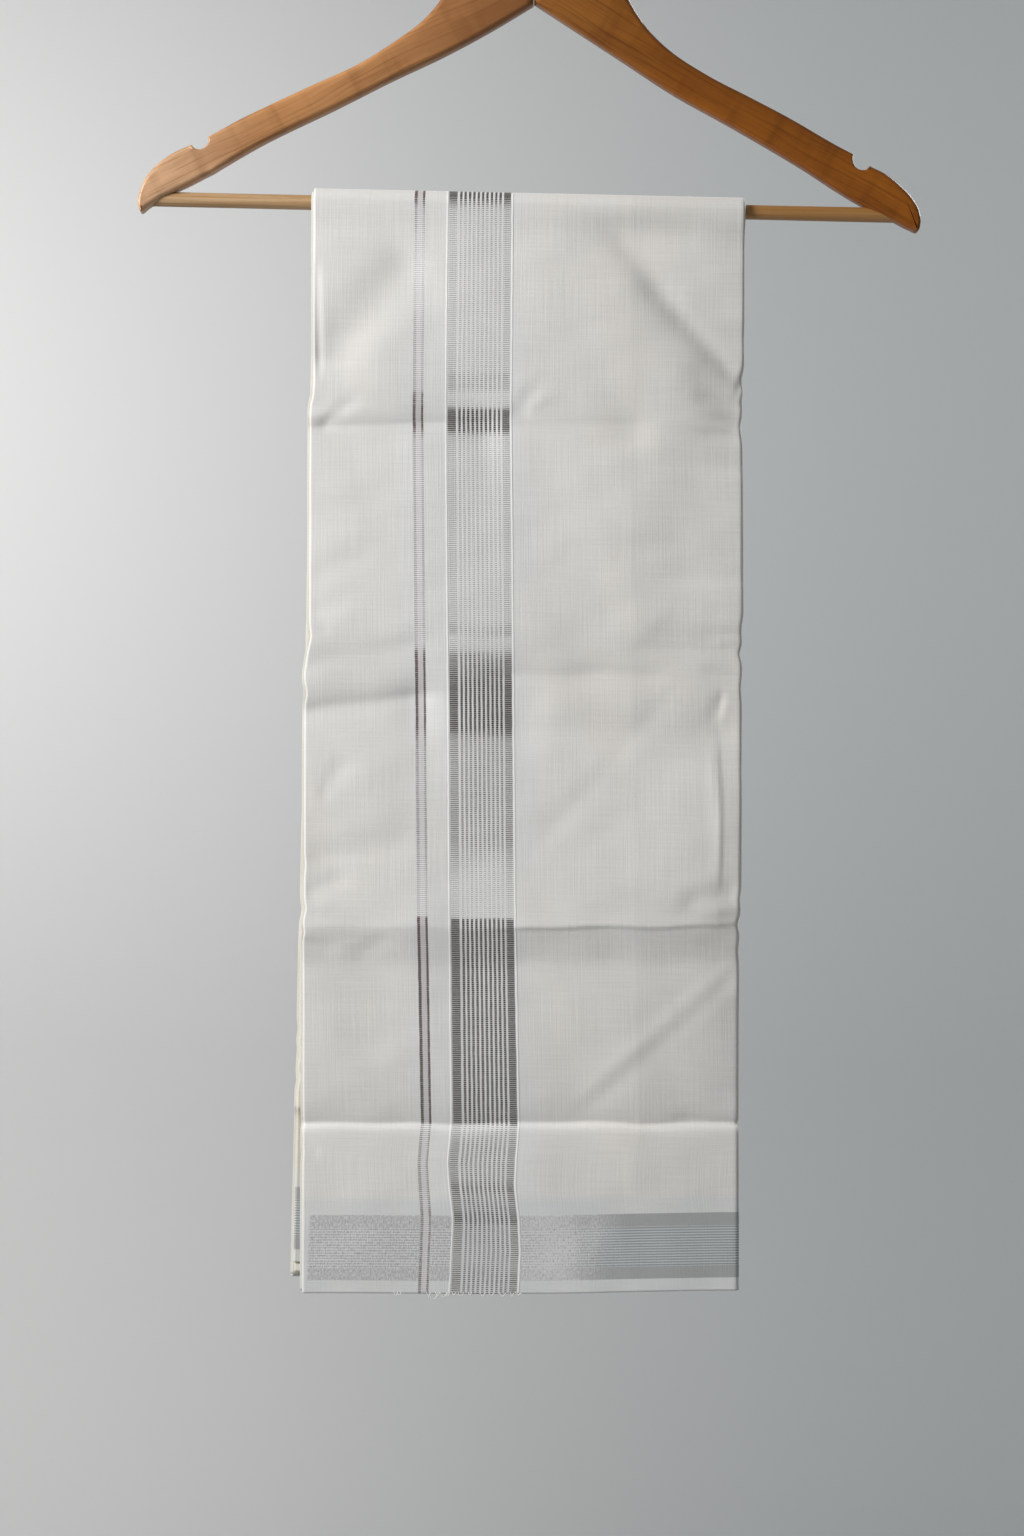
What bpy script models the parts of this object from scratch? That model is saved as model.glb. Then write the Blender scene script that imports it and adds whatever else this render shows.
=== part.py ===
"""Folded dhoti cloth, hung over the bar of a wooden clothes hanger.

The long cloth is folded into a narrow stack and laid over the bar, so that a front and a
back drop hang from it. The stack is an outermost length, which wraps round the right-hand
edge, and the hidden layers inside it, which share one solid.

Frame: metres, +Z up, the front of the cloth faces -Y and +X is to its right. The origin is
the inside top of the hook, where a rail carries the hanger. Sizes below are in millimetres,
and heights are counted from the axis of the bar.
"""
import math
from collections import namedtuple

import bmesh
import bpy
import numpy as np

MM = 0.001
GAP = 0.3

# Hook: steel wire in a round crook over the middle of the hanger.
WIRE_RADIUS = 1.9
CROOK_RADIUS = 24.0
CROOK_END = 205.0
NECK_RADIUS = 12.0
SHANK_SHOWN = 12.0
SHANK_IN_WOOD = 26.0

# Hanger: two flat arms that meet in the middle, and a round bar between their tips.
ARM_THICK = 12.0
ARM_ARRIS = 3.0
ARM_STEP = 9.0
BAR_RADIUS = 4.2
BAR_HALF = 215.0
BAR_SIDES = 20

# One row for each place along an arm: its distance from the middle and the height of the
# edge there on the left and the right arm.
EdgeRow = namedtuple("EdgeRow", "x left right")
ARM_TOP = [
    EdgeRow(0.15, 160.0, 160.0),
    EdgeRow(16.0, 157.0, 157.0),
    EdgeRow(30.0, 149.0, 149.5),
    EdgeRow(41.0, 137.5, 139.0),
    EdgeRow(49.0, 124.5, 128.0),
    EdgeRow(54.5, 114.5, 118.0),
    EdgeRow(64.0, 103.5, 103.8),
    EdgeRow(77.0, 93.4, 91.2),
    EdgeRow(99.0, 78.9, 77.2),
    EdgeRow(125.0, 66.2, 64.4),
    EdgeRow(148.0, 54.9, 52.9),
    EdgeRow(168.0, 44.6, 41.8),
    EdgeRow(183.6, 35.2, 33.3),
]
ARM_NOTCH = [
    EdgeRow(183.2, 32.6, 30.2),
    EdgeRow(185.0, 29.4, 26.1),
    EdgeRow(188.0, 28.0, 24.5),
    EdgeRow(191.1, 28.5, 24.8),
]
ARM_NOSE = [
    EdgeRow(193.0, 30.5, 27.0),
    EdgeRow(202.0, 26.6, 23.0),
    EdgeRow(211.0, 20.4, 16.3),
    EdgeRow(217.5, 13.3, 9.8),
    EdgeRow(221.6, 4.2, 2.6),
    EdgeRow(222.8, -3.9, -4.4),
    EdgeRow(221.2, -7.9, -9.2),
    EdgeRow(216.5, -4.9, -7.8),
    EdgeRow(208.0, 0.7, -3.7),
    EdgeRow(191.0, 9.6, 4.1),
    EdgeRow(150.0, 33.9, 28.4),
    EdgeRow(110.0, 54.3, 50.5),
    EdgeRow(81.0, 69.8, 65.8),
    EdgeRow(50.0, 85.3, 85.1),
    EdgeRow(25.0, 99.4, 100.6),
    EdgeRow(0.15, 115.0, 116.0),
]

# Cloth: the stack of layers lies on the bar, and its outermost length is a wall round the
# hidden ones. One row for each height: the two side edges and the depth of the stack.
WALL = 1.0
BAR_TO_CLOTH = BAR_RADIUS + GAP
DropRow = namedtuple("DropRow", "z left right stack")
FRONT_DROP = [
    DropRow(0.0, -122.5, 122.9, 3.6),
    DropRow(-102.0, -120.1, 124.5, 4.3),
    DropRow(-113.0, -122.0, 123.7, 4.1),
    DropRow(-240.0, -119.3, 126.6, 4.8),
    DropRow(-256.0, -121.7, 126.3, 4.5),
    DropRow(-395.0, -118.7, 128.8, 5.2),
    DropRow(-410.0, -119.2, 128.4, 4.9),
    DropRow(-620.0, -114.9, 132.5, 5.4),
]
BACK_DROP = [
    DropRow(0.0, -122.5, 122.9, 3.6),
    DropRow(-120.0, -122.9, 122.6, 4.3),
    DropRow(-265.0, -122.3, 123.4, 4.7),
    DropRow(-405.0, -122.6, 123.8, 5.1),
    DropRow(-615.0, -123.2, 124.2, 5.3),
]

# Pressed creases across each drop: the height where one meets the left and the right edge.
# The first line is the top of the drop and the last one is its hem.
CreaseLine = namedtuple("CreaseLine", "left right")
FRONT_LINES = [
    CreaseLine(0.0, 0.0),
    CreaseLine(-124.9, -119.5),
    CreaseLine(-278.0, -252.8),
    CreaseLine(-414.3, -406.0),
    CreaseLine(-524.4, -518.9),
    CreaseLine(-619.7, -612.5),
]
BACK_LINES = [
    CreaseLine(0.0, 0.0),
    CreaseLine(-121.0, -128.0),
    CreaseLine(-262.0, -270.0),
    CreaseLine(-405.0, -401.0),
    CreaseLine(-516.0, -512.0),
    CreaseLine(-614.5, -609.0),
]
# Rows this far above and below a crease, and the most between two rows elsewhere.
CREASE_ROWS = (10.0, 3.5)
ROW_STEP = 34.0
ARC_STEPS = 8

# Troughs in a drop, or ridges where the depth is negative. Each runs from (x0, z0) to
# (x1, z1), is as deep as stated in its middle and fades over its reach.
Fold = namedtuple("Fold", "x0 z0 x1 z1 depth reach")
FRONT_FOLDS = [
    Fold(-135.0, -125.2, 60.0, -120.9, 2.4, 12.0),
    Fold(60.0, -120.9, 140.0, -119.2, 1.1, 12.0),
    Fold(-135.0, -279.5, 140.0, -251.4, 2.3, 13.0),
    Fold(-135.0, -414.9, 140.0, -405.6, 2.6, 12.0),
    Fold(-135.0, -524.8, 140.0, -518.7, 1.8, 7.0),
    Fold(32.0, -5.0, 119.0, -94.0, 1.8, 15.0),
    Fold(-63.0, -13.0, -117.0, -74.0, 1.3, 14.0),
    Fold(34.0, -513.0, 126.0, -417.0, -0.9, 11.0),
]
BACK_FOLDS = [
    Fold(-135.0, -120.6, 140.0, -128.4, 2.3, 12.0),
    Fold(-135.0, -261.6, 140.0, -270.4, 2.5, 13.0),
    Fold(-135.0, -405.2, 140.0, -400.8, 2.2, 12.0),
    Fold(-135.0, -516.2, 140.0, -511.8, 1.7, 7.0),
    Fold(-30.0, -8.0, -112.0, -98.0, 1.6, 15.0),
    Fold(48.0, -290.0, 110.0, -385.0, -0.9, 12.0),
]
SLACK = 2.8
SLACK_REACH = 45.0

# Places across the stack's outer and inner side, as shares of its flat width.
OUTER_SHARES = (0.0, 0.06, 0.14, 0.23, 0.32, 0.41, 0.5, 0.59, 0.68, 0.77, 0.86, 0.94, 1.0)
INNER_SHARES = (1.0, 0.75, 0.5, 0.25, 0.0)
FOLD_STEPS = 6

# Leaves of the hidden layers at the left edge: the share of their depth where one ends,
# and how far its rounded edge stands inside the stack's own edge, front and back.
Leaf = namedtuple("Leaf", "ends front back")
LEAVES = [
    Leaf(0.28, 2.4, 1.2),
    Leaf(0.62, -0.7, 2.6),
    Leaf(1.0, 1.1, -0.8),
]
LEAF_ROUND = 0.7
HIDDEN_HEM = 2.2
HIDDEN_EASE = 0.35

Shade = namedtuple("Shade", "color roughness metallic")
SHADES = {
    "cloth": Shade((0.74, 0.73, 0.70), 0.75, 0.0),
    "hidden_cloth": Shade((0.68, 0.65, 0.58), 0.8, 0.0),
    "varnished_wood": Shade((0.42, 0.20, 0.075), 0.35, 0.0),
    "pale_wood": Shade((0.52, 0.34, 0.17), 0.45, 0.0),
    "steel": Shade((0.6, 0.6, 0.6), 0.3, 1.0),
}


def neck_angle():
    """The angle at which the hook's neck runs into the crook."""
    return math.asin(NECK_RADIUS / (CROOK_RADIUS + NECK_RADIUS))


CROOK_Z = WIRE_RADIUS - CROOK_RADIUS
NECK_Z = CROOK_Z - (CROOK_RADIUS + NECK_RADIUS) * math.cos(neck_angle())
WOOD_TOP_Z = NECK_Z - SHANK_SHOWN
BAR_Z = WOOD_TOP_Z - ARM_TOP[0].left


def clear_scene():
    """Remove every object from the scene."""
    for obj in list(bpy.data.objects):
        bpy.data.objects.remove(obj, do_unlink=True)


def collection(name):
    """Return a new collection under the scene's own one."""
    made = bpy.data.collections.new(name)
    bpy.context.scene.collection.children.link(made)
    return made


def material(name):
    """Return the Principled material of one of the shades."""
    made = bpy.data.materials.get(name)
    if made is None:
        shade = SHADES[name]
        made = bpy.data.materials.new(name)
        made.use_nodes = True
        shader = made.node_tree.nodes["Principled BSDF"]
        shader.inputs["Base Color"].default_value = (*shade.color, 1.0)
        shader.inputs["Roughness"].default_value = shade.roughness
        shader.inputs["Metallic"].default_value = shade.metallic
    return made


def add_object(name, data, home, shade=None):
    """Put mesh or curve data into the collection as one named object."""
    obj = bpy.data.objects.new(name, data)
    if shade:
        data.materials.append(material(shade))
    home.objects.link(obj)
    return obj


def placed(points):
    """Turn points in hanger millimetres into metres from the origin."""
    return (np.asarray(points, float) + (0.0, 0.0, BAR_Z)) * MM


def through(rows, step):
    """Return points on a smooth curve through the rows, at most a step apart."""
    rows = np.asarray(rows, float)
    chords = np.linalg.norm(np.diff(rows, axis=0), axis=1)
    along = np.concatenate([[0.0], np.cumsum(chords)])
    slope = np.gradient(rows, along, axis=0)
    points = [rows[0]]
    for i, chord in enumerate(chords):
        count = math.ceil(chord / step)
        for k in range(1, count + 1):
            t = k / count
            points.append(
                (2 * t**3 - 3 * t**2 + 1) * rows[i]
                + (t**3 - 2 * t**2 + t) * chord * slope[i]
                + (3 * t**2 - 2 * t**3) * rows[i + 1]
                + (t**3 - t**2) * chord * slope[i + 1]
            )
    return np.array(points)


def arm_outline(side):
    """Return the closed outline of one arm, as x and z, for side "left" or "right"."""
    top, notch, nose = (
        [(row.x, getattr(row, side)) for row in rows]
        for rows in (ARM_TOP, ARM_NOTCH, ARM_NOSE)
    )
    outline = np.concatenate([through(top, ARM_STEP), notch, through(nose, ARM_STEP)])
    if side == "left":
        outline[:, 0] *= -1
    return outline


def build_arm(side, home, cutters):
    """Extrude an arm's outline, round its arrises and drill it for the bar and the hook."""
    outline = arm_outline(side)
    mesh = bpy.data.meshes.new(f"hanger_arm_{side}")
    bm = bmesh.new()
    corners = np.stack([outline[:, 0], np.full(len(outline), -ARM_THICK / 2), outline[:, 1]], 1)
    face = bm.faces.new([bm.verts.new(p) for p in placed(corners)])
    grown = bmesh.ops.extrude_face_region(bm, geom=[face])["geom"]
    back = [part for part in grown if isinstance(part, bmesh.types.BMFace)][0]
    shift = (0.0, ARM_THICK * MM, 0.0)
    bmesh.ops.translate(bm, verts=back.verts[:], vec=shift)
    bmesh.ops.recalc_face_normals(bm, faces=bm.faces[:])
    arrises = [
        edge
        for cap in bm.faces
        if len(cap.verts) > 4
        for edge in cap.edges
        if max(abs(v.co.x) for v in edge.verts) > ARM_TOP[0].x * MM * 1.5
    ]
    bmesh.ops.bevel(
        bm, geom=arrises, offset=ARM_ARRIS * MM, segments=2, profile=0.5, affect="EDGES"
    )
    bm.to_mesh(mesh)
    bm.free()
    arm = add_object(mesh.name, mesh, home, "varnished_wood")
    for name, cutter in cutters.items():
        cut = arm.modifiers.new(name, "BOOLEAN")
        cut.operation = "DIFFERENCE"
        cut.solver = "EXACT"
        cut.object = cutter
    return arm


def cylinder(name, radius, start, end, sides, home, shade=None):
    """Return a closed cylinder between two points in hanger millimetres."""
    start, end = placed([start, end])
    span = end - start
    bm = bmesh.new()
    bmesh.ops.create_cone(
        bm, cap_ends=True, segments=sides, radius1=radius * MM, radius2=radius * MM,
        depth=float(np.linalg.norm(span)),
    )
    mesh = bpy.data.meshes.new(name)
    bm.to_mesh(mesh)
    bm.free()
    obj = add_object(name, mesh, home, shade)
    obj.location = (start + end) / 2
    if abs(span[0]) > abs(span[2]):
        obj.rotation_euler = (0.0, math.pi / 2, 0.0)
    return obj


def build_cutters(home):
    """Make the drills for the bar's ends and for the hook's shank."""
    drills = {
        "bar_hole": cylinder(
            "bar_hole", BAR_RADIUS + GAP, (-BAR_HALF - GAP, 0.0, 0.0), (BAR_HALF + GAP, 0.0, 0.0),
            BAR_SIDES, home,
        ),
        "shank_hole": cylinder(
            "shank_hole", WIRE_RADIUS + GAP, (0.0, 0.0, ARM_TOP[0].left - SHANK_IN_WOOD - GAP),
            (0.0, 0.0, ARM_TOP[0].left + SHANK_SHOWN), 12, home,
        ),
    }
    for drill in drills.values():
        drill.hide_render = True
        drill.display_type = "WIRE"
    return drills


def build_hook(home):
    """Bend the wire: up the shank, out through the neck and round the crook."""
    bend = neck_angle()
    path = [(0.0, NECK_Z - SHANK_SHOWN - SHANK_IN_WOOD), (0.0, NECK_Z - SHANK_SHOWN / 2)]
    for angle in np.linspace(0.0, math.pi / 2 - bend, 5):
        path.append((NECK_RADIUS * (1 - math.cos(angle)), NECK_Z + NECK_RADIUS * math.sin(angle)))
    for angle in np.radians(np.linspace(math.degrees(bend) - 90, CROOK_END, 30))[1:]:
        path.append((CROOK_RADIUS * math.cos(angle), CROOK_Z + CROOK_RADIUS * math.sin(angle)))
    curve = bpy.data.curves.new("hanger_hook", "CURVE")
    curve.dimensions = "3D"
    curve.bevel_depth = WIRE_RADIUS * MM
    curve.bevel_resolution = 2
    curve.use_fill_caps = True
    spline = curve.splines.new("POLY")
    spline.points.add(len(path) - 1)
    for point, (x, z) in zip(spline.points, path):
        point.co = (x * MM, 0.0, z * MM, 1.0)
    return add_object("hanger_hook", curve, home, "steel")


class Drop:
    """One side of the hung stack: its side, edges, creases and folds."""

    def __init__(self, side, rows, lines, folds):
        """Keep the side, -1 for the front and 1 for the back, and the tables."""
        self.side = side
        self.rows = rows
        self.lines = lines
        self.folds = folds

    def column(self, name, z):
        """Return one column of the edge table at the heights z."""
        heights = [row.z for row in reversed(self.rows)]
        values = [getattr(row, name) for row in reversed(self.rows)]
        return np.interp(z, heights, values)

    def row_lines(self, crease_rows):
        """Return the heights at the left and right edge of each grid row, top first."""
        found = [self.lines[0]]
        for above, below in zip(self.lines, self.lines[1:]):
            top = found[-1]
            last = below is self.lines[-1]
            bottom = below if last else CreaseLine(*(z + crease_rows[0] for z in below))
            count = math.ceil((top.left - bottom.left) / ROW_STEP)
            for k in range(1, count + 1):
                found.append(CreaseLine(*(a + (b - a) * k / count for a, b in zip(top, bottom))))
            if not last:
                nearer = crease_rows[1:]
                for away in (*nearer, 0.0, *(-a for a in reversed(nearer)), -crease_rows[0]):
                    found.append(CreaseLine(*(z + away for z in below)))
        return np.array(found)

    def relief(self, x, z):
        """Return how far the stack stands out from the bar's plane at x and z."""
        out = SLACK * (1 - np.exp(-np.square(np.minimum(z, 0.0) / SLACK_REACH)))
        for fold in self.folds:
            start = np.array((fold.x0, fold.z0))
            run = np.array((fold.x1, fold.z1)) - start
            long = np.linalg.norm(run)
            dx, dz = x - start[0], z - start[1]
            along = (dx * run[0] + dz * run[1]) / long
            across = np.abs(dx * run[1] - dz * run[0]) / long
            past = np.maximum(np.maximum(-along, along - long), 0.0)
            out = out - fold.depth * np.exp(-across / fold.reach - np.square(past / fold.reach))
        return out * (1 - np.exp(-np.square(np.minimum(z, 0.0) / 12.0)))


FRONT = Drop(-1, FRONT_DROP, FRONT_LINES, FRONT_FOLDS)
BACK = Drop(1, BACK_DROP, BACK_LINES, BACK_FOLDS)


def stack_rows(crease_rows, hem_short):
    """Return the grid rows from the front hem over the bar to the back hem.

    Each row is its drop, its heights at the left and right edge and its angle on the bar.
    """
    rows = []
    for drop in (FRONT, BACK):
        lines = drop.row_lines(crease_rows)
        lines[-1] += hem_short
        part = [(drop, left, right, 0.0) for left, right in lines]
        turn = [
            (drop, 0.0, 0.0, math.pi * k / ARC_STEPS) for k in range(1, ARC_STEPS // 2)
        ]
        rows += part[::-1] + turn if drop is FRONT else turn[::-1] + part
        if drop is FRONT:
            rows.append((drop, 0.0, 0.0, math.pi / 2))
    return rows


def row_points(row, section):
    """Place a section of the stack on a row.

    The section gives x and the depth from the inner side for the row's own left and right
    edge and stack depth.
    """
    drop, z_left, z_right, angle = row
    middle = (z_left + z_right) / 2
    left, right, stack = (drop.column(name, middle) for name in ("left", "right", "stack"))
    x, depth = section(left, right, stack, drop)
    z = z_left + (x - left) / (right - left) * (z_right - z_left)
    out = (BAR_TO_CLOTH + depth) * math.cos(angle) + drop.relief(x, z)
    return np.stack([x, drop.side * out, z + (BAR_TO_CLOTH + depth) * math.sin(angle)], 1)


def outer_section(left, right, stack, drop):
    """The outer side of the outermost length: front, round the right-hand fold, inner side."""
    round_x = right - stack / 2
    turn = np.linspace(0.0, math.pi, FOLD_STEPS + 1)[1:-1]
    x = np.concatenate([
        left + np.array(OUTER_SHARES) * (round_x - left),
        round_x + stack / 2 * np.sin(turn),
        left + np.array(INNER_SHARES) * (round_x - left),
    ])
    depth = np.concatenate([
        np.full(len(OUTER_SHARES), stack),
        stack / 2 * (1 + np.cos(turn)),
        np.zeros(len(INNER_SHARES)),
    ])
    return x, depth


def hidden_section(left, right, stack, drop):
    """The hidden layers: a flat ring, round at the right and in leaves at the left."""
    ease = HIDDEN_EASE * (stack - FRONT_DROP[0].stack)
    low = WALL + GAP + ease
    deep = stack - 2 * low
    round_x = right - stack / 2
    turn = np.linspace(0.0, math.pi, 5)[1:-1]
    x = [left + share * (round_x - left) for share in OUTER_SHARES[1:]]
    depth = [low + deep] * len(x)
    x += list(round_x + deep / 2 * np.sin(turn))
    depth += list(low + deep / 2 * (1 + np.cos(turn)))
    x += [left + share * (round_x - left) for share in INNER_SHARES[:-1]]
    depth += [low] * (len(INNER_SHARES) - 1)
    start = 0.0
    for leaf in LEAVES:
        edge = left + (leaf.front if drop is FRONT else leaf.back)
        for share in (0.0, 0.5, 1.0):
            x.append(edge + LEAF_ROUND * (2 * share - 1) ** 2)
            depth.append(low + deep * (start + share * (leaf.ends - start) * 0.98))
        start = leaf.ends
    return np.array(x), np.array(depth)


def loft(name, rows, section, closed):
    """Return a mesh of quads over the rows, with end caps where the section is closed."""
    rings = np.stack([row_points(row, section) for row in rows])
    count = rings.shape[1]
    bm = bmesh.new()
    verts = [[bm.verts.new(p) for p in placed(ring)] for ring in rings]
    span = count if closed else count - 1
    for one, two in zip(verts, verts[1:]):
        for k in range(span):
            after = (k + 1) % count
            bm.faces.new((one[k], one[after], two[after], two[k]))
    if closed:
        bm.faces.new(verts[0])
        bm.faces.new(reversed(verts[-1]))
        bmesh.ops.recalc_face_normals(bm, faces=bm.faces[:])
    mesh = bpy.data.meshes.new(name)
    bm.to_mesh(mesh)
    bm.free()
    mesh.shade_smooth()
    return mesh


def build_cloth(home):
    """Make the outermost length as a wall, and the hidden layers as one solid in it."""
    rows = stack_rows(CREASE_ROWS, 0.0)
    outer = add_object(
        "dhoti_outer_length", loft("dhoti_outer_length", rows, outer_section, False), home, "cloth"
    )
    wall = outer.modifiers.new("wall", "SOLIDIFY")
    wall.thickness = WALL * MM
    wall.offset = -1.0
    wall.use_even_offset = True
    rows = stack_rows(CREASE_ROWS[:1], HIDDEN_HEM)
    add_object(
        "dhoti_hidden_layers", loft("dhoti_hidden_layers", rows, hidden_section, True), home,
        "hidden_cloth",
    )


def main():
    """Build the hanger and the cloth on it."""
    clear_scene()
    home = collection("dhoti_on_hanger")
    cutters = build_cutters(collection("cutters"))
    for side in ("left", "right"):
        build_arm(side, home, cutters)
    cylinder(
        "hanger_bar", BAR_RADIUS, (-BAR_HALF, 0.0, 0.0), (BAR_HALF, 0.0, 0.0), BAR_SIDES, home,
        "pale_wood",
    )
    build_hook(home)
    build_cloth(home)


main()
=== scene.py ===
"""Looks of a folded dhoti cloth, hung over the bar of a wooden clothes hanger.

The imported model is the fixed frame. Round it this script makes the outermost length of the
cloth as a thin creased shell, the leaves of the layers inside it, the loose threads at its
hem, and a finer hanger, and dresses them. Shapes are worked out in millimetres from the
axis of the hanger's bar, with the front of the cloth at -Y, and are put into their meshes in
metres.
"""
import logging
import math
from dataclasses import dataclass, field
from enum import Enum
from typing import Callable, NamedTuple, TypeVar

import bpy
import numpy as np
from numpy.typing import NDArray
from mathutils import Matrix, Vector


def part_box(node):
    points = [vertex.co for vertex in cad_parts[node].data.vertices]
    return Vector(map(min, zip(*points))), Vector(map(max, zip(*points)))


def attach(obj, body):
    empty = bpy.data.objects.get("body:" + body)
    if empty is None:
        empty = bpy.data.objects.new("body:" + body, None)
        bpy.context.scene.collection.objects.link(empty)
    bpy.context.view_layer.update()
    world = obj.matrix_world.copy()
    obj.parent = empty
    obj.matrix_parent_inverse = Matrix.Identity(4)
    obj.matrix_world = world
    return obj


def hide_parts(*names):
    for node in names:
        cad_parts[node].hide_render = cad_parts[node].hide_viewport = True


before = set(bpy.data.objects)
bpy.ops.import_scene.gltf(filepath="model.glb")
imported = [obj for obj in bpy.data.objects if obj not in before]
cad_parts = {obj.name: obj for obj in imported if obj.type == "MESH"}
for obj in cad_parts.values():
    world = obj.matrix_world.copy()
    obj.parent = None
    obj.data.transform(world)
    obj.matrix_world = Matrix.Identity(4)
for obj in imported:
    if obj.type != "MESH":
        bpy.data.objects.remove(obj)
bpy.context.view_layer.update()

log = logging.getLogger("dhoti")
Array = NDArray[np.float64]
MM = 0.001
BODY = "root"
BAR_Z = sum(corner.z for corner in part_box("hanger_bar")) / 2 / MM


class Side(Enum):
    """The two drops that hang from the bar."""

    FRONT = -1
    BACK = 1


class CreaseShape(Enum):
    """How a pressed line runs: a valley, a shelf that recedes below a ridge, or a raised lip."""

    VALLEY = "valley"
    SHELF = "shelf"
    LIP = "lip"


class Drop(NamedTuple):
    """The side edges of a drop and the depth of its stack at one height."""

    z: float
    left: float
    right: float
    stack: float


class Line(NamedTuple):
    """A line across a drop, by its heights at the left and the right edge."""

    left: float
    right: float


class Crease(NamedTuple):
    """A pressed line between two points, with its own reach above and below.

    Its depth is how far it is pressed in. A valley of negative depth is a ridge.
    """

    x0: float
    z0: float
    x1: float
    z1: float
    depth: float
    above: float
    below: float
    blunt: float
    fade: float
    shape: CreaseShape = CreaseShape.VALLEY


class Fold(NamedTuple):
    """A trough, or a ridge where the depth is negative, between two points of a drop."""

    x0: float
    z0: float
    x1: float
    z1: float
    depth: float
    reach: float
    bow: float = 0.0


class Dent(NamedTuple):
    """A place where a side edge is drawn in, at a height and over a reach."""

    z: float
    inward: float
    reach: float


class BandRow(NamedTuple):
    """The woven band's own course down the cloth: its two edges, and the narrow pair's drift."""

    z: float
    left: float
    right: float
    pair: float


class PaintedTone(NamedTuple):
    """Painted reflection of the silver yarn at one height: how dark it is painted, 0 a bright painted
    glint and 1 the darkest painted shade.
    """

    z: float
    band: float
    pair: float


class Leaf(NamedTuple):
    """A leaf of the hidden layers: its insets at the left edge, and how far it ends above the hems."""

    front: float
    back: float
    front_hem: float
    back_hem: float


class Loop(NamedTuple):
    """A loose thread below the hem: its two ends along the hem, its drop and its sway."""

    x0: float
    x1: float
    drop: float
    sway: float


class EdgeRow(NamedTuple):
    """A place along an arm: its distance from the middle and its height on each arm."""

    x: float
    left: float
    right: float


class Strip(NamedTuple):
    """A strip of the weave, by its two edges and the softness of them."""

    low: float
    high: float
    soft: float = 0.4


class Stripes(NamedTuple):
    """Even lines in the weave: the middle of the first, the pitch, half a width, the softness."""

    start: float
    pitch: float
    half: float
    soft: float


Row = TypeVar("Row")


def rows(kind: Callable[..., Row], *values: tuple) -> tuple[Row, ...]:
    """Return a table with a row of one kind for each tuple of values."""
    return tuple(kind(*row) for row in values)


WALL = 0.35
BAR_RADIUS = 4.2
BAR_TO_CLOTH = 4.5
INNER_EDGE = 1.5
BAND_WIDTH = 36.0
HEM_SAG = 1.2

# The slack below the bar, the height over which relief fades out on it, the long swell and
# the waver of the creases that make the cloth uneven, the width of an edge's dents, how
# fast a fold deepens from its ends, and how near a line the rows lie close.
SLACK = 2.8
SLACK_REACH = 45.0
BAR_FADE = 7.0
SWELL = 0.0016
SWELL_LENGTHS = (95.0, 78.0, 64.0, 52.0, 43.0, 36.0, 30.0, 25.0, 21.0)
WAVER_SIZES = (0.4, 0.5)
WAVER_LENGTHS = (8.3, 19.0)
DENT_WIDTH = 9.0
FOLD_RISE = 4.0
FOLD_START = 0.35
CLOSE_ROWS = 7.0

# How far below the bar the hem's sag and a leaf's lift set in, and over which height.
SAG_FROM, SAG_OVER = 500.0, 110.0
LIFT_FROM, LIFT_OVER = 420.0, 190.0

# The radius at which the weave runs over the bar, the band's lead on it, the width over which
# the narrow pair drifts, and the place across the weave where the stack's inner side begins,
# with the shares of the stack's depth over which it sets in and its distance from the fold.
BEND_RADIUS = 8.0
BAND_LEAD = 4.0
DRIFT_WIDTH = 12.0
INSIDE_SHIFT = 320.0
INSIDE_FROM, INSIDE_FALL = 1.4, 1.6
FOLD_EDGE = 0.2

FRONT_DROP = rows(
    Drop,
    (0, -122.5, 122.9, 3.6), (-102, -120.1, 124.5, 4.3), (-113, -122, 123.7, 4.1),
    (-240, -119.3, 126.6, 4.8), (-256, -121.7, 126.3, 4.5), (-395, -118.7, 128.8, 5.2),
    (-410, -119.2, 128.4, 4.9), (-620, -114.9, 132.5, 5.4),
)
BACK_DROP = rows(
    Drop,
    (0, -122.5, 122.9, 3.6), (-120, -122.9, 122.6, 4.3), (-265, -122.3, 123.4, 4.7),
    (-405, -122.6, 123.8, 5.1), (-615, -123.2, 124.2, 5.3),
)
FRONT_LINES = rows(
    Line,
    (0, 0), (-124.9, -119.5), (-278, -252.8), (-414.3, -406), (-524.4, -518.9), (-619.7, -612.5),
)
BACK_LINES = rows(
    Line,
    (0, 0), (-121, -128), (-262, -270), (-405, -401), (-516, -512), (-614.5, -609),
)
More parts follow.
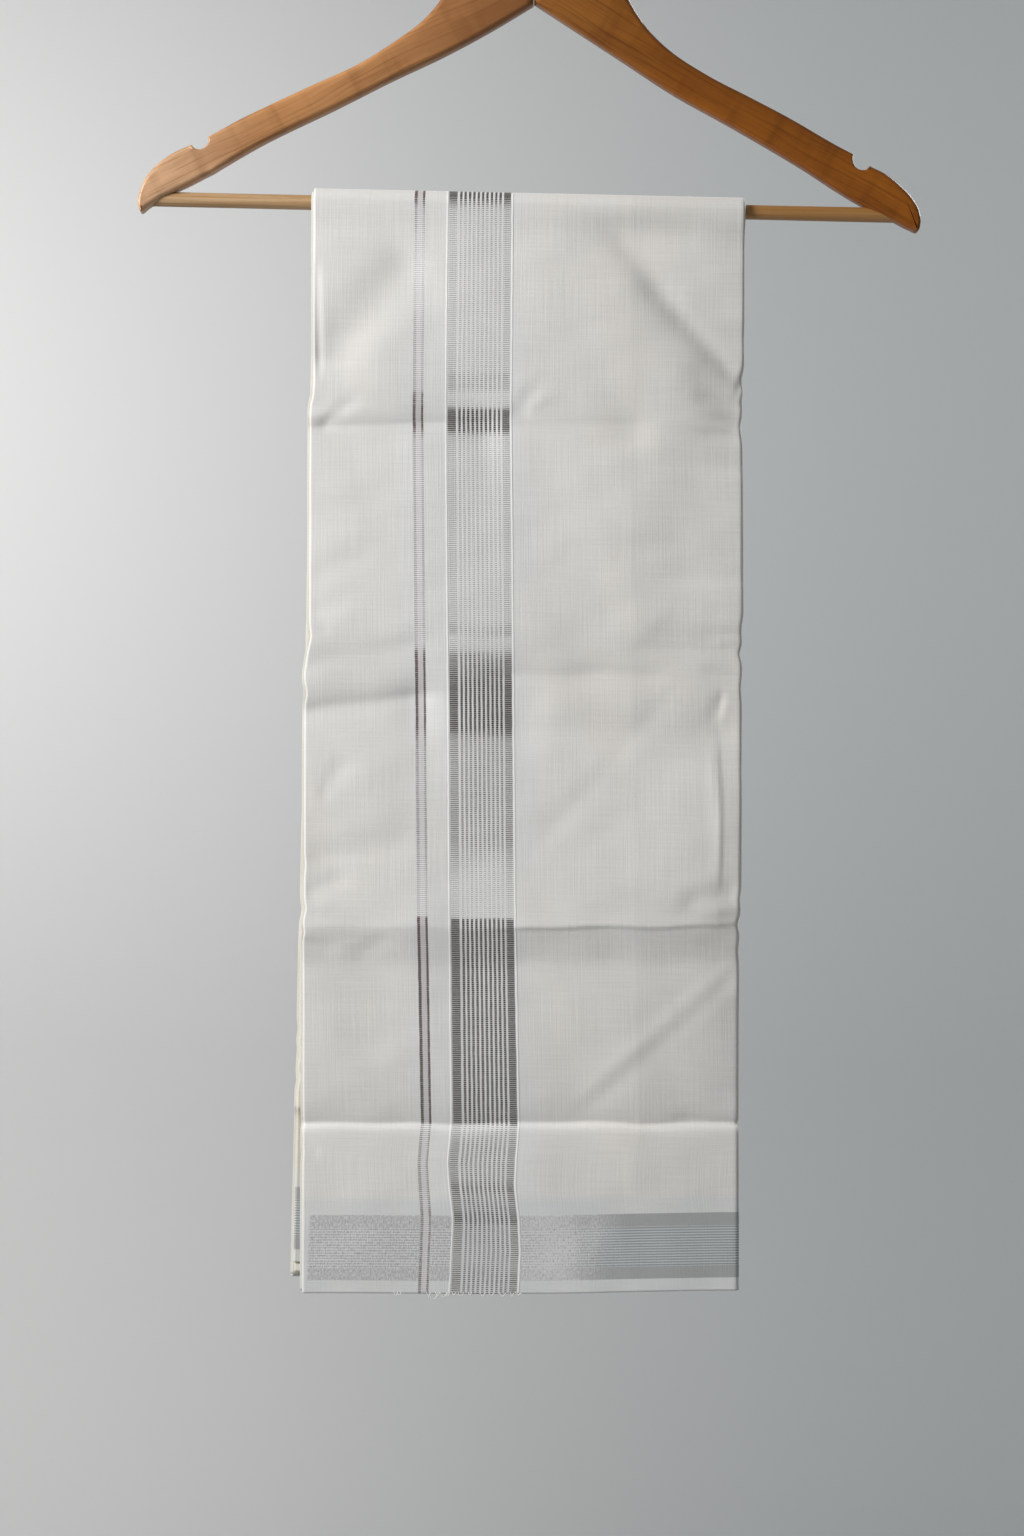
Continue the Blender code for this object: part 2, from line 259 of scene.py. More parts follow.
FRONT_CREASES = rows(
    Crease,
    (-135, -14, 0, -14, 0.8, 8, 15, 4, 20), (32, -16, 140, -15, 1.3, 9, 18, 4, 20),
    (60, -28, 118, -92, 3.4, 34, 10, 2.6, 28), (-135, -130.4, -26, -123.6, 2.6, 6.5, 38, 0.8, 9),
    (-14, -126.4, 60, -123.4, 1.5, 10, 34, 1.2, 11), (66, -124.6, 140, -120.3, 0.6, 8, 26, 2, 12),
    (-135, -292.4, -60, -280.6, 2.9, 6.5, 20, 1.2, 12), (-56, -280, 6, -280.6, 1.1, 10, 22, 3, 10),
    (-135, -266.6, -62, -251, 1, 4.5, 10, 1.6, 14), (-2, -268, 72, -265.5, 1.7, 6.5, 12, 3, 16),
    (4, -298, 112, -297, 1.9, 14, 11, 5, 16), (68, -249.4, 126, -250.8, 0.6, 4, 9, 0.9, 6),
    (-150, -415.9, 104, -407.8, -2.8, 34, 20, 2, 22),
    (-140, -415.6, -66, -413.3, 0.5, 10, 0, 1.2, 8, CreaseShape.LIP),
    (-52, -412.5, -8, -412.3, 0.6, 12, 0, 1, 8, CreaseShape.LIP),
    (7, -411.7, 106, -407.6, 1.5, 12, 0, 0.8, 8, CreaseShape.LIP),
    (117, -407.4, 145, -403, 0.9, 14, 0, 0.9, 6, CreaseShape.LIP),
    (-140, -434.9, -40, -431.6, 2, 19, 46, 1.2, 10, CreaseShape.SHELF),
    (-22, -431.2, 145, -425.4, 2.8, 19, 50, 1.2, 10, CreaseShape.SHELF),
    (-140, -525.1, 145, -518, 1.2, 34, 1.2, 0.4, 20), (-140, -525.1, 145, -518, 2.2, 34, 22, 0.6, 20),
    (-140, -525.1, 145, -518, 1.5, 7, 1.4, 0.4, 20), (-14, -522.4, 145, -518, 0.6, 12, 2, 0.4, 16),
    (99, -516, 134, -521, 0.7, 2, 2, 0.5, 4),
)
FRONT_FOLDS = rows(
    Fold,
    (-64, -29, -116, -95, 1.8, 14), (66, -41, 119, -98, 0.9, 4.5, 1), (148, -14, 140, -80, 3.3, 50),
    (-130, -88, -128, -122, 1.6, 23), (-132, -168, -132, -240, 1.5, 28),
    (140, -128, 138, -152, 2.4, 40), (63, -134, 66, -190, -1.1, 22), (124, -212, 124, -240, -1.4, 32),
    (122, -318, 106, -400, -3.2, 42), (142, -446, 142, -508, 1.6, 24), (132, -66, 130, -128, 2.7, 21),
    (96, -88, 126, -128, 0.8, 8), (-120.2, -35, -117, -99, 0.7, 2.2), (-116, -129, -95, -111, 0.7, 3.6),
    (11, -98, -4.5, -119.5, 0.45, 2.3, 1), (2, -107, -3.5, -122.5, 0.5, 1.5),
    (20, -106, 1, -116, -0.35, 2.2), (-109, -182.5, -18.5, -176.5, 0.16, 2.6),
    (-118, -213, -84, -199, 0.4, 6), (-118, -234, -96, -226, 0.35, 5), (6, -372, 98, -262, 0.3, 5),
    (30, -372, 112, -298, 0.2, 8), (-120, -374, -58, -362.5, 0.8, 8),
    (-110, -341, -96, -317, 0.5, 4.5, 1.5), (-118, -392.5, -94, -383, 0.7, 5),
    (-90, -431.5, -68, -416, 0.5, 5, 1.5), (96, -394, 126, -388, 1.1, 5, 2),
    (125, -427.5, 33, -512, -0.45, 3.2), (128, -435, 44, -513, 0.3, 4),
    (109, -286, 114.4, -386, -0.75, 1.7, 2.6), (116, -275, 109.4, -292, 0.9, 2.8),
    (65, -249, 83, -226, -0.3, 4.5), (-118, -533, -107, -540.5, 0.4, 2.6),
    (-118, -454, -6, -453.3, 0.14, 2.6), (-100, -474, -70, -482, 0.25, 9),
    (20, -196, 62, -232, 0.3, 14), (120, -103, 125.5, -90, 1.1, 1.8), (97, -107, 126, -112.5, 0.7, 3.6),
    (100, -129, 127, -124, 0.25, 3.6), (108, -228, 129, -236, 0.5, 3.2),
    (110, -246, 129, -243, -0.4, 3), (104, -262, 130, -268, 0.5, 3.4),
    (112, -398, 131, -395, -0.5, 2.6), (106, -416, 131, -424, 0.4, 3),
    (-124, -247, -108, -243, 0.4, 2.6), (-124, -398, -104, -402, -0.5, 2.8),
    (-124, -420, -100, -424, 0.4, 3),
)
BACK_CREASES = rows(
    Crease,
    (-140, -16, 140, -15, 0.6, 9, 13, 5, 30), (-140, -120.4, -10, -124.6, 1.9, 12, 40, 1.2, 10),
    (2, -125, 140, -128.4, 2.2, 13, 36, 1, 10), (-140, -261.4, 12, -265.8, 2.2, 10, 26, 1.4, 12),
    (20, -267, 140, -270.6, 1.5, 14, 20, 4, 14),
    (-140, -405.4, 145, -400.6, 0.9, 22, 0, 0.8, 9, CreaseShape.LIP),
    (-140, -421.4, 145, -418.6, 2.2, 16, 44, 1, 9, CreaseShape.SHELF),
    (-140, -516.2, 145, -511.7, 3.2, 32, 2.6, 0.5, 20),
)
BACK_FOLDS = rows(
    Fold,
    (-30, -8, -114, -100, 1.9, 13, 1.5), (58, -10, 116, -70, 1.3, 12), (48, -290, 112, -388, -0.8, 9),
    (-112, -286, -70, -366, 0.6, 9, 3), (-118, -160, -60, -150, 0.3, 6), (20, -200, 74, -168, 0.35, 10),
    (-122, -392, -96, -398, 0.6, 4), (100, -392, 126, -385, 0.8, 5), (-116, -428, -30, -506, -0.7, 6),
    (30, -440, 96, -470, 0.35, 12), (112, -118, 126, -124, 0.6, 3), (110, -256, 127, -262, 0.5, 3.2),
    (-126, -250, -108, -256, 0.5, 3), (-126, -112, -106, -117, -0.4, 3),
)
FRONT_LEFT_DENTS = rows(
    Dent,
    (-112, 0.8, 5), (-247, 0.9, 4), (-280, 1.2, 5), (-377, 0.6, 4), (-402, 1, 4), (-415, 0.9, 3),
    (-524, 0.5, 1.6), (-541, 0.4, 3),
)
FRONT_RIGHT_DENTS = rows(
    Dent,
    (-97, 1.4, 5), (-108, 0.6, 3), (-124, 1.3, 6), (-238, 0.8, 5), (-252, 1.4, 4), (-272, 0.7, 5),
    (-391, 0.9, 4), (-405, 1.3, 4), (-420, 0.7, 5), (-519, 0.6, 1.6),
)
BACK_LEFT_DENTS = rows(
    Dent,
    (-117, 1, 5), (-262, 1.2, 5), (-404, 1.2, 5), (-472, 0.9, 3.6), (-486, 1.1, 3.6), (-500, 1, 3.6),
)
BACK_RIGHT_DENTS = rows(
    Dent,
    (-127, 1.2, 5), (-270, 1, 6), (-401, 1.3, 5),
)
FRONT_BAND = rows(
    BandRow,
    (2.2, -45.7, -9.9, 0), (-122.7, -43.9, -8, -0.1), (-265, -39.6, -3.6, 0.1),
    (-405.3, -35.5, 0.6, 0.4), (-522.2, -31.9, 5.3, 1.4), (-544.3, -33.6, 4.1, 1.7),
    (-556.8, -32.4, 3.9, 1.4), (-575.5, -29.9, 6.4, 0.6), (-593.7, -30.3, 7.6, 0.7),
    (-616.4, -30.9, 7, 0.9),
)
BACK_BAND = rows(
    BandRow,
    (2.2, -45.7, -9.9, 0), (-130, -45, -9.1, 0.1), (-268, -44.4, -8.3, 0.2), (-404, -42.8, -6.9, 0.2),
    (-514, -41.6, -5.2, 0.6), (-540, -42.6, -6, 0.9), (-575, -40.8, -4.4, 0.5),
    (-612, -41.4, -4.6, 0.8),
)
# Painted reflection of the band's and the narrow pair's silver yarn by height: high values are painted
# shade, low ones painted highlight, and values below 0 painted glints.
FRONT_PAINTED_TONES = rows(
    PaintedTone,
    (9, 1, 1), (2.4, 1, 1), (-2, 0.45, 0.5), (-8, 0.28, 0.2), (-17, 0.27, 0.1), (-22, 0.27, -0.5),
    (-54, 0.27, -0.5), (-62, 0.27, 0.15), (-96, 0.28, 0.2), (-98, 0.5, 0.25), (-106, 0.46, 0.3),
    (-108, 0.02, 0.7), (-114, 0.12, 0.8), (-117.5, 0.9, 0.9), (-128.5, 0.9, 0.9), (-132, 0.45, 0.5),
    (-139, 0.3, 0.25), (-238, 0.22, 0.2), (-240, 0.5, 0.2), (-245, 0.5, -0.3), (-247, 0.02, -0.4),
    (-252, 0.22, 0.4), (-256, 0.7, 0.9), (-274, 0.9, 0.95), (-298, 0.92, 0.95), (-304, 0.6, 0.6),
    (-318, 0.6, 0.45), (-362, 0.62, 0.5), (-376, 0.36, 0.3), (-384, 0.16, -0.2), (-404.6, 0.09, -0.2),
    (-405.6, 0.9, 1), (-430, 0.86, 1), (-470, 0.83, 0.9), (-522, 0.86, 0.95), (-523, 0.35, 0.35),
    (-534, 0.6, 0.5), (-553, 0.6, 0.5), (-557, 0.8, 0.55), (-563, 0.65, 0.5), (-571, 0.7, 0.6),
    (-575, 0.88, 0.65), (-579, 0.66, 0.6), (-603, 0.58, 0.6), (-609, 0.68, 0.7), (-620, 0.6, 0.6),
)
# The same painted reflection tones on the back drop.
BACK_PAINTED_TONES = rows(
    PaintedTone,
    (9, 1, 1), (1, 0.9, 0.9), (-6, 0.3, 0.3), (-104, 0.3, 0.3), (-112, 0.1, 0.1), (-121, 0.12, 0.15),
    (-126, 0.9, 0.9), (-139, 0.8, 0.8), (-146, 0.35, 0.35), (-250, 0.3, 0.3), (-262, 0.1, 0.1),
    (-267, 0.7, 0.8), (-296, 0.9, 0.9), (-312, 0.5, 0.5), (-382, 0.4, 0.4), (-402, 0.08, 0.1),
    (-404, 0.95, 0.95), (-512, 0.9, 0.9), (-515, 0.25, 0.35), (-560, 0.45, 0.5), (-616, 0.5, 0.55),
)
LEAVES = rows(
    Leaf,
    (1.9, 2.3, 2.6, 3.4), (-1.5, 0.9, 1.2, 2.6), (1.2, 2.8, 3.8, 4.4), (0.4, -0.4, 0.9, 1.6),
)
LOOPS = rows(
    Loop,
    (-63.2, -60.4, 1.6, 0.4), (-60.8, -58.9, 0.9, -0.2), (-44.6, -41.9, 2.2, 0.5),
    (-42.6, -38.4, 3.1, -0.6), (-39.6, -36.9, 1.5, 0.3), (-37.2, -32, 2.4, 0.8), (-33.4, -31.4, 1.1, 0),
    (-30.2, -27.8, 0.9, 0.3), (-26.5, -23.6, 1.3, -0.3), (-21, -18.8, 0.8, 0.2), (-14.4, -11, 1.4, 0.4),
    (-9, -6.6, 1, -0.2), (-3.6, 0.8, 1.3, 0.3), (2.8, 5.2, 1.8, 0.4), (5.6, 9.8, 1.2, 0.9),
)
ARM_TOP = rows(
    EdgeRow,
    (0.15, 160, 160), (16, 157, 157), (30, 149, 149.5), (41, 137.5, 139), (49, 124.5, 128),
    (54.5, 114.5, 118), (64, 103.5, 103.8), (77, 93.4, 91.2), (99, 78.9, 77.2), (125, 66.2, 64.4),
    (148, 54.9, 52.9), (168, 44.6, 41.8), (183.6, 35.2, 33.3),
)
ARM_NOTCH = rows(
    EdgeRow,
    (183.2, 32.6, 30.2), (185, 29.4, 26.1), (188, 28, 24.5), (191.1, 28.5, 24.8),
)
ARM_NOSE = rows(
    EdgeRow,
    (193, 30.5, 27), (202, 26.6, 23), (211, 20.4, 16.3), (217.5, 13.3, 9.8), (221.6, 4.2, 2.6),
    (222.8, -3.9, -4.4), (221.2, -7.9, -9.2), (216.5, -4.9, -7.8), (208, 0.7, -3.7), (191, 9.6, 4.1),
    (150, 33.9, 28.4), (110, 54.3, 50.5), (81, 69.8, 65.8), (50, 85.3, 85.1), (25, 99.4, 100.6),
    (0.15, 115, 116),
)


def columns(table: tuple, name: str, at: Array) -> Array:
    """Read one column of a table at the heights given.

    Args:
        table: The table, highest row first.
        name: The column.
        at: Heights in millimetres from the bar's axis.

    Returns:
        The column's values, straight between the rows.
    """
    heights = [row.z for row in reversed(table)]
    return np.interp(at, heights, [getattr(row, name) for row in reversed(table)])


def ease(value: Array) -> Array:
    """Return 0 to 1 with level ends, as three squares less two cubes."""
    t = np.clip(value, 0.0, 1.0)
    return t * t * (3.0 - 2.0 * t)


def bell(value: Array) -> Array:
    """Return 1 at 0, falling off as the exponential of minus the square."""
    return np.exp(-np.square(value))


def metres(points: Array) -> Array:
    """Turn points in millimetres from the bar's axis into metres from the origin."""
    return (points + (0.0, 0.0, BAR_Z)) * MM


@dataclass(frozen=True)
class HungSide:
    """One drop of the hung stack: its edges, lines, creases, band and painted reflection tones."""

    side: Side
    drop: tuple[Drop, ...]
    lines: tuple[Line, ...]
    creases: tuple[Crease, ...]
    folds: tuple[Fold, ...]
    left_dents: tuple[Dent, ...]
    right_dents: tuple[Dent, ...]
    band: tuple[BandRow, ...]
    painted_tones: tuple[PaintedTone, ...]
    hem_shift: float
    seed: int

    def share(self, x: Array) -> Array:
        """Return each x as a share of the hem's width."""
        low = self.drop[-1]
        return (x - low.left) / (low.right - low.left)

    def sag(self, x: Array) -> Array:
        """Return how far the hem hangs below its straight line: a squared half sine."""
        return HEM_SAG * np.square(np.sin(math.pi * self.share(x)))

    def hem(self, x: Array) -> Array:
        """Return the height of the hem at each x: a straight line with a slight sag."""
        last = self.lines[-1]
        return last.left + self.share(x) * (last.right - last.left) - self.sag(x)

    def middles(self) -> Array:
        """Return the height of each line half way across, top first."""
        return np.array([(line.left + line.right) / 2 for line in self.lines])

    def row_heights(self, step: float, near: float) -> Array:
        """Return the heights of the grid rows, close together at the creases.

        The rows lie where the running sum of a density reaches whole numbers. The density is
        1 / step, and rises to 1 / near round each line.

        Args:
            step: The distance between rows away from the creases.
            near: The distance between rows at a crease.

        Returns:
            Heights half way across, from the top of the drop to its hem.
        """
        lines = self.middles()
        fine = np.linspace(0.0, lines[-1], 4000)
        spread = bell((fine[:, None] - lines[None, 1:]) / CLOSE_ROWS).max(1)
        density = 1.0 / step + (1.0 / near - 1.0 / step) * spread
        total = np.concatenate([[0.0], np.cumsum(density[1:] * np.abs(np.diff(fine)))])
        return np.interp(np.linspace(0.0, total[-1], math.ceil(total[-1]) + 1), total, fine)

    def noise(self, x: Array, z: Array) -> Array:
        """Return an uneven swell of the cloth.

        It is a sum of sines of plane waves, each with its own direction and phase from a seed,
        and with a height in step with its length.

        Args:
            x: Places across the drop.
            z: Heights from the bar's axis.

        Returns:
            The distance outwards at each place.
        """
        rng = np.random.default_rng(self.seed)
        out = np.zeros(np.broadcast(x, z).shape)
        for length in SWELL_LENGTHS:
            turn, phase = rng.uniform(0.0, math.pi), rng.uniform(0.0, 2 * math.pi)
            wave = (x * math.cos(turn) + z * math.sin(turn)) * 2 * math.pi / length
            out = out + SWELL * length * np.sin(wave + phase)
        return out

    def relief(self, x: Array, z: Array, coarse: float = 0.0) -> Array:
        """Return how far the stack stands out from the bar's plane.

        It is the slack below the bar and the swell, less the creases, whose lines waver by two
        sines, and the folds. A fold is a bell across its line, which may bow as a parabola,
        and fades past its ends as a bell. All of it fades out on the bar.

        Args:
            x: Places across the drop.
            z: Heights from the bar's axis.
            coarse: The narrowest reach that a trough is given. Ridges narrower than it are
                left out.

        Returns:
            The distance outwards at each place.
        """
        out = SLACK * (1 - bell(np.minimum(z, 0.0) / SLACK_REACH)) + self.noise(x, z)
        waver = sum(
            size * np.sin(x / length + turn * self.seed)
            for turn, (size, length) in enumerate(zip(WAVER_SIZES, WAVER_LENGTHS), 1)
        )
        for crease in self.creases:
            _, across, past = self.from_line(crease, x, z + waver)
            out = out + self.crease(crease, across) * bell(past / crease.fade)
        for fold in self.folds:
            if fold.depth < 0 and fold.reach < coarse:
                continue
            share, across, past = self.from_line(fold, x, z)
            bow = fold.bow * 4 * np.clip(share * (1 - share), 0.0, 1.0)
            reach = max(fold.reach, coarse)
            body = ease(np.minimum(share, 1 - share) * FOLD_RISE + FOLD_START)
            out = out - fold.depth * body * bell((across - bow) / reach) * bell(past / reach)
        return out * (1 - bell(np.minimum(z, 0.0) / BAR_FADE))

    @staticmethod
    def crease(row: Crease, across: Array) -> Array:
        """Return the relief of a crease at each distance above its line.

        The distance is blunted as the root of its square and the bluntness's square. A valley
        falls off as an exponential on each side. A shelf rises in a straight line above the
        valley until its reach, and falls off below. A lip stands out above the line, falls
        off upwards, and ends at the line in a hyperbolic tangent.

        Args:
            row: The crease.
            across: Distances above its line.

        Returns:
            The distance outwards, below 0 in a valley.
        """
        away = np.hypot(across, row.blunt) - row.blunt
        upper = across > 0
        if row.shape is CreaseShape.LIP:
            edge = 0.5 * (1 + np.tanh(across / row.blunt - 1.0))
            return row.depth * edge * np.exp(-np.maximum(across, 0.0) / row.above)
        if row.shape is CreaseShape.SHELF:
            over = 1 - across / row.above
            flank = 0.5 * (over + np.hypot(over, row.blunt / row.above))
            return -row.depth * np.where(upper, np.minimum(flank, 1.0), np.exp(-away / row.below))
        return -row.depth * np.exp(-away / np.where(upper, row.above, row.below))

    @staticmethod
    def from_line(row: Crease | Fold, x: Array, z: Array) -> tuple[Array, Array, Array]:
        """Measure places from the line of a crease or a fold.

        The way from the line's start is split into the part along the line and the part square
        to it.

        Args:
            row: The crease or fold.
            x: Places across the drop.
            z: Heights from the bar's axis.

        Returns:
            The share along the line, the distance above it, and the distance past its ends.
        """
        run_x, run_z = row.x1 - row.x0, row.z1 - row.z0
        long = math.hypot(run_x, run_z)
        along = ((x - row.x0) * run_x + (z - row.z0) * run_z) / long
        across = ((z - row.z0) * run_x - (x - row.x0) * run_z) / long
        past = np.maximum(np.maximum(-along, along - long), 0.0)
        return along / long, across * (1.0 if run_x >= 0 else -1.0), past

    def dent(self, x: Array, z: Array, left: Array, right: Array) -> Array:
        """Return how far each place moves sideways where an edge is drawn in.

        A dent falls off as an exponential with the distance from the edge, and as a bell along
        the edge.

        Args:
            x: Places across the drop.
            z: Heights from the bar's axis.
            left: The left edges.
            right: The right edges.

        Returns:
            The distance to the right.
        """
        out = np.zeros_like(x)
        for dents, edge, sign in ((self.left_dents, left, 1.0), (self.right_dents, right, -1.0)):
            near = np.exp(-np.abs(x - edge) / DENT_WIDTH)
            for row in dents:
                out = out + sign * row.inward * near * bell((z - row.z) / row.reach)
        return out


Section = Callable[[Array, Array, Array, HungSide], tuple[Array, Array, Array]]


@dataclass(frozen=True)
class Grid:
    """Rows over the whole hung stack, from the front hem over the bar to the back hem.

    Each row has its side, its height half way across and its angle on the bar.
    """

    front: HungSide
    back: HungSide
    step: float
    near: float
    arc: int
    coarse: float = 0.0

    def rows(self) -> list[tuple[HungSide, Array, Array]]:
        """Lay out the rows of both sides, from the front hem over the bar to the back hem.

        Returns:
            For each side, the side with its rows' heights and their angles on the bar.
        """
        turn = np.linspace(0.0, math.pi / 2, self.arc + 1)[1:]
        parts = []
        for side in (self.front, self.back):
            heights = side.row_heights(self.step, self.near)
            turned = turn if side is self.front else turn[:-1]
            z = np.concatenate([heights[::-1], np.zeros(len(turned))])
            angle = np.concatenate([np.zeros(len(heights)), turned])
            flip = slice(None) if side is self.front else slice(None, None, -1)
            parts.append((side, z[flip], angle[flip]))
        return parts

    def surface(self, section: Section) -> tuple[Array, dict[str, Array]]:
        """Carry a section of the stack along the rows.

        A point stands the bar's radius plus its depth from the bar's axis, turned by the
        row's angle, plus the relief at its place. Its height runs straight from the line at
        the left edge to the line at the right edge.

        Args:
            section: Gives x and depth for the edges and stack depth of each row.

        Returns:
            The points, rows by columns by 3 in millimetres, and the values kept with them:
            the place across the weave, the place along it, the distance from the nearer hem
            and the painted reflection tones of the band and of the narrow pair.
        """
        shapes, kept = [], []
        for side, middle, angle in self.rows():
            sign = side.side.value
            left, right, stack = (
                columns(side.drop, name, middle)[:, None] for name in Drop._fields[1:]
            )
            x, depth, lift = section(left, right, stack, side)
            order = -side.middles()
            ends = [np.interp(-middle, order, [row[k] for row in side.lines])[:, None] for k in (0, 1)]
            z = ends[0] + (x - left) / (right - left) * (ends[1] - ends[0])
            z = z - ease((-z - SAG_FROM) / SAG_OVER) * side.sag(x)
            lifted = lift * ease((-z - LIFT_FROM) / LIFT_OVER)
            z = z + lifted
            x = x + side.dent(x, z, left, right)
            angle = angle[:, None]
            out = (BAR_TO_CLOTH + depth) * np.cos(angle) + side.relief(x, z, self.coarse)
            high = z + (BAR_TO_CLOTH + depth) * np.sin(angle)
            shapes.append(np.stack([x, sign * out, high], 2))
            values = self.kept(side, x, z, angle, depth, stack, right)
            values["hem"] = np.abs(z - lifted - side.hem(x) + angle * BEND_RADIUS)
            kept.append(values)
        joined = {name: np.concatenate([part[name] for part in kept]) for name in kept[0]}
        return np.concatenate(shapes), joined

    @staticmethod
    def kept(side: HungSide, x: Array, z: Array, angle: Array, depth: Array,
             stack: Array, right: Array) -> dict[str, Array]:
        """Return the values that the finish needs at each point.

        Args:
            side: The drop.
            x: Places across the drop.
            z: Heights from the bar's axis, without the turn on the bar.
            angle: The rows' angles on the bar.
            depth: Depths from the stack's inner side.
            stack: The stack's depth in each row.
            right: The right edge in each row.

        Returns:
            Arrays by name, one value a point, without the distance from the hem.
        """
        at = z + angle * BAND_LEAD
        low, high, drift = (columns(side.band, name, at) for name in BandRow._fields[1:])
        across = np.where(x < low, x - low, (x - low) * BAND_WIDTH / (high - low))
        across = np.where(x > high, BAND_WIDTH + x - high, across)
        across = across - np.where(x < low, drift * ease((low - x) / DRIFT_WIDTH), 0.0)
        # Where the stack's inner side lies; the finish paints it in a painted shade colour.
        inside = ease(INSIDE_FROM - INSIDE_FALL * depth / stack) * (x < right - FOLD_EDGE)
        return {
            "across": across + inside * INSIDE_SHIFT,
            "along": side.side.value * ((math.pi / 2 - angle) * BEND_RADIUS - z),
            # The painted reflection tones of the band's and the pair's silver yarn.
            "band": columns(side.painted_tones, "band", at),
            "pair": columns(side.painted_tones, "pair", at),
            "inside": inside,
        }


FRONT = HungSide(
    Side.FRONT, FRONT_DROP, FRONT_LINES, FRONT_CREASES, FRONT_FOLDS, FRONT_LEFT_DENTS,
    FRONT_RIGHT_DENTS, FRONT_BAND, FRONT_PAINTED_TONES, 2.0, 11,
)
BACK = HungSide(
    Side.BACK, BACK_DROP, BACK_LINES, BACK_CREASES, BACK_FOLDS, BACK_LEFT_DENTS,
    BACK_RIGHT_DENTS, BACK_BAND, BACK_PAINTED_TONES, 9.0, 23,
)


def grid_faces(rows: int, count: int, closed: bool) -> Array:
    """Return the quads of a grid whose points run row by row.

    Args:
        rows: The number of rows.
        count: The points in a row.
        closed: Whether each row is a ring.

    Returns:
        Four point numbers a face.
    """
    here = np.arange(count if closed else count - 1)
    after = (here + 1) % count
    first = np.arange(rows - 1)[:, None] * count
    quads = [first + here, first + after, first + count + after, first + count + here]
    return np.stack(quads, 2).reshape(-1, 4)


@dataclass
class Piece:
    """A mesh that is filled from arrays and becomes one named piece of the object."""

    name: str
    points: list[Array] = field(default_factory=list)
    faces: list[list[int]] = field(default_factory=list)
    values: dict[str, list[Array]] = field(default_factory=dict)
    count: int = 0

    def add(self, points: Array, closed: bool = True, capped: bool = False, flip: bool = False,
            values: dict[str, Array] | None = None) -> None:
        """Add a grid of points and the faces between them.

        Args:
            points: Rows by columns by 3, in millimetres.
            closed: Whether each row is a ring.
            capped: Whether the first and the last row are closed by a face each.
            flip: Whether the faces are turned round.
            values: Values kept at the points, by name.
        """
        rows, across = points.shape[:2]
        turn = slice(None, None, -1 if flip else 1)
        self.points.append(metres(points.reshape(-1, 3)))
        self.faces += (grid_faces(rows, across, closed)[:, turn] + self.count).tolist()
        if capped:
            first = np.arange(across) + self.count
            last = first + (rows - 1) * across
            self.faces += [first[::-1][turn].tolist(), last[turn].tolist()]
        for name, value in (values or {}).items():
            self.values.setdefault(name, []).append(np.broadcast_to(value, points.shape[:-1]).ravel())
        self.count += rows * across

    def build(self, uv: tuple[str, str] | None = None) -> bpy.types.Object:
        """Make the object at the origin, smooth, with its UV map and its attributes.

        Args:
            uv: The names of the two kept values that are the UV map, if there is one.

        Returns:
            The new object, linked to the scene.
        """
        mesh = bpy.data.meshes.new(self.name)
        mesh.from_pydata(np.concatenate(self.points).tolist(), [], self.faces)
        kept = {name: np.concatenate(parts) for name, parts in self.values.items()}
        if uv:
            corner = np.zeros(len(mesh.loops), np.int32)
            mesh.loops.foreach_get("vertex_index", corner)
            pair = np.stack([kept.pop(uv[0])[corner], kept.pop(uv[1])[corner]], 1)
            mesh.uv_layers.new(name="weave").data.foreach_set("uv", pair.astype(np.float32).ravel())
        for name, value in kept.items():
            held = mesh.attributes.new(name, "FLOAT", "POINT")
            held.data.foreach_set("value", value.astype(np.float32))
        mesh.shade_smooth()
        mesh.validate()
        made = bpy.data.objects.new(self.name, mesh)
        bpy.context.scene.collection.objects.link(made)
        return made


def operation(name: str) -> Callable[..., "Wire"]:
    """Make an arithmetic method for wires.

    Args:
        name: The operation of the Math node.

    Returns:
        A method that takes a wire, and another input, through the node.
    """
    def joined(one: "Wire", two: "Input" = 0.0) -> "Wire":
        """Return the node's output."""
        return one.graph.math(name, one, two)
    return joined


@dataclass(frozen=True)
class Wire:
    """An output of a node. The greater of two wires is written with |."""

    graph: "Graph"
    socket: bpy.types.NodeSocket

    __add__ = operation("ADD")
    __sub__ = operation("SUBTRACT")
    __mul__ = operation("MULTIPLY")
    __truediv__ = operation("DIVIDE")
    __or__ = operation("MAXIMUM")
    __abs__ = operation("ABSOLUTE")

    def __rsub__(self, other: float) -> "Wire":
        """Return what is left of a number."""
        return self.graph.math("SUBTRACT", other, self)


Colour = tuple[float, float, float]
Input = Wire | float | tuple[float, ...]


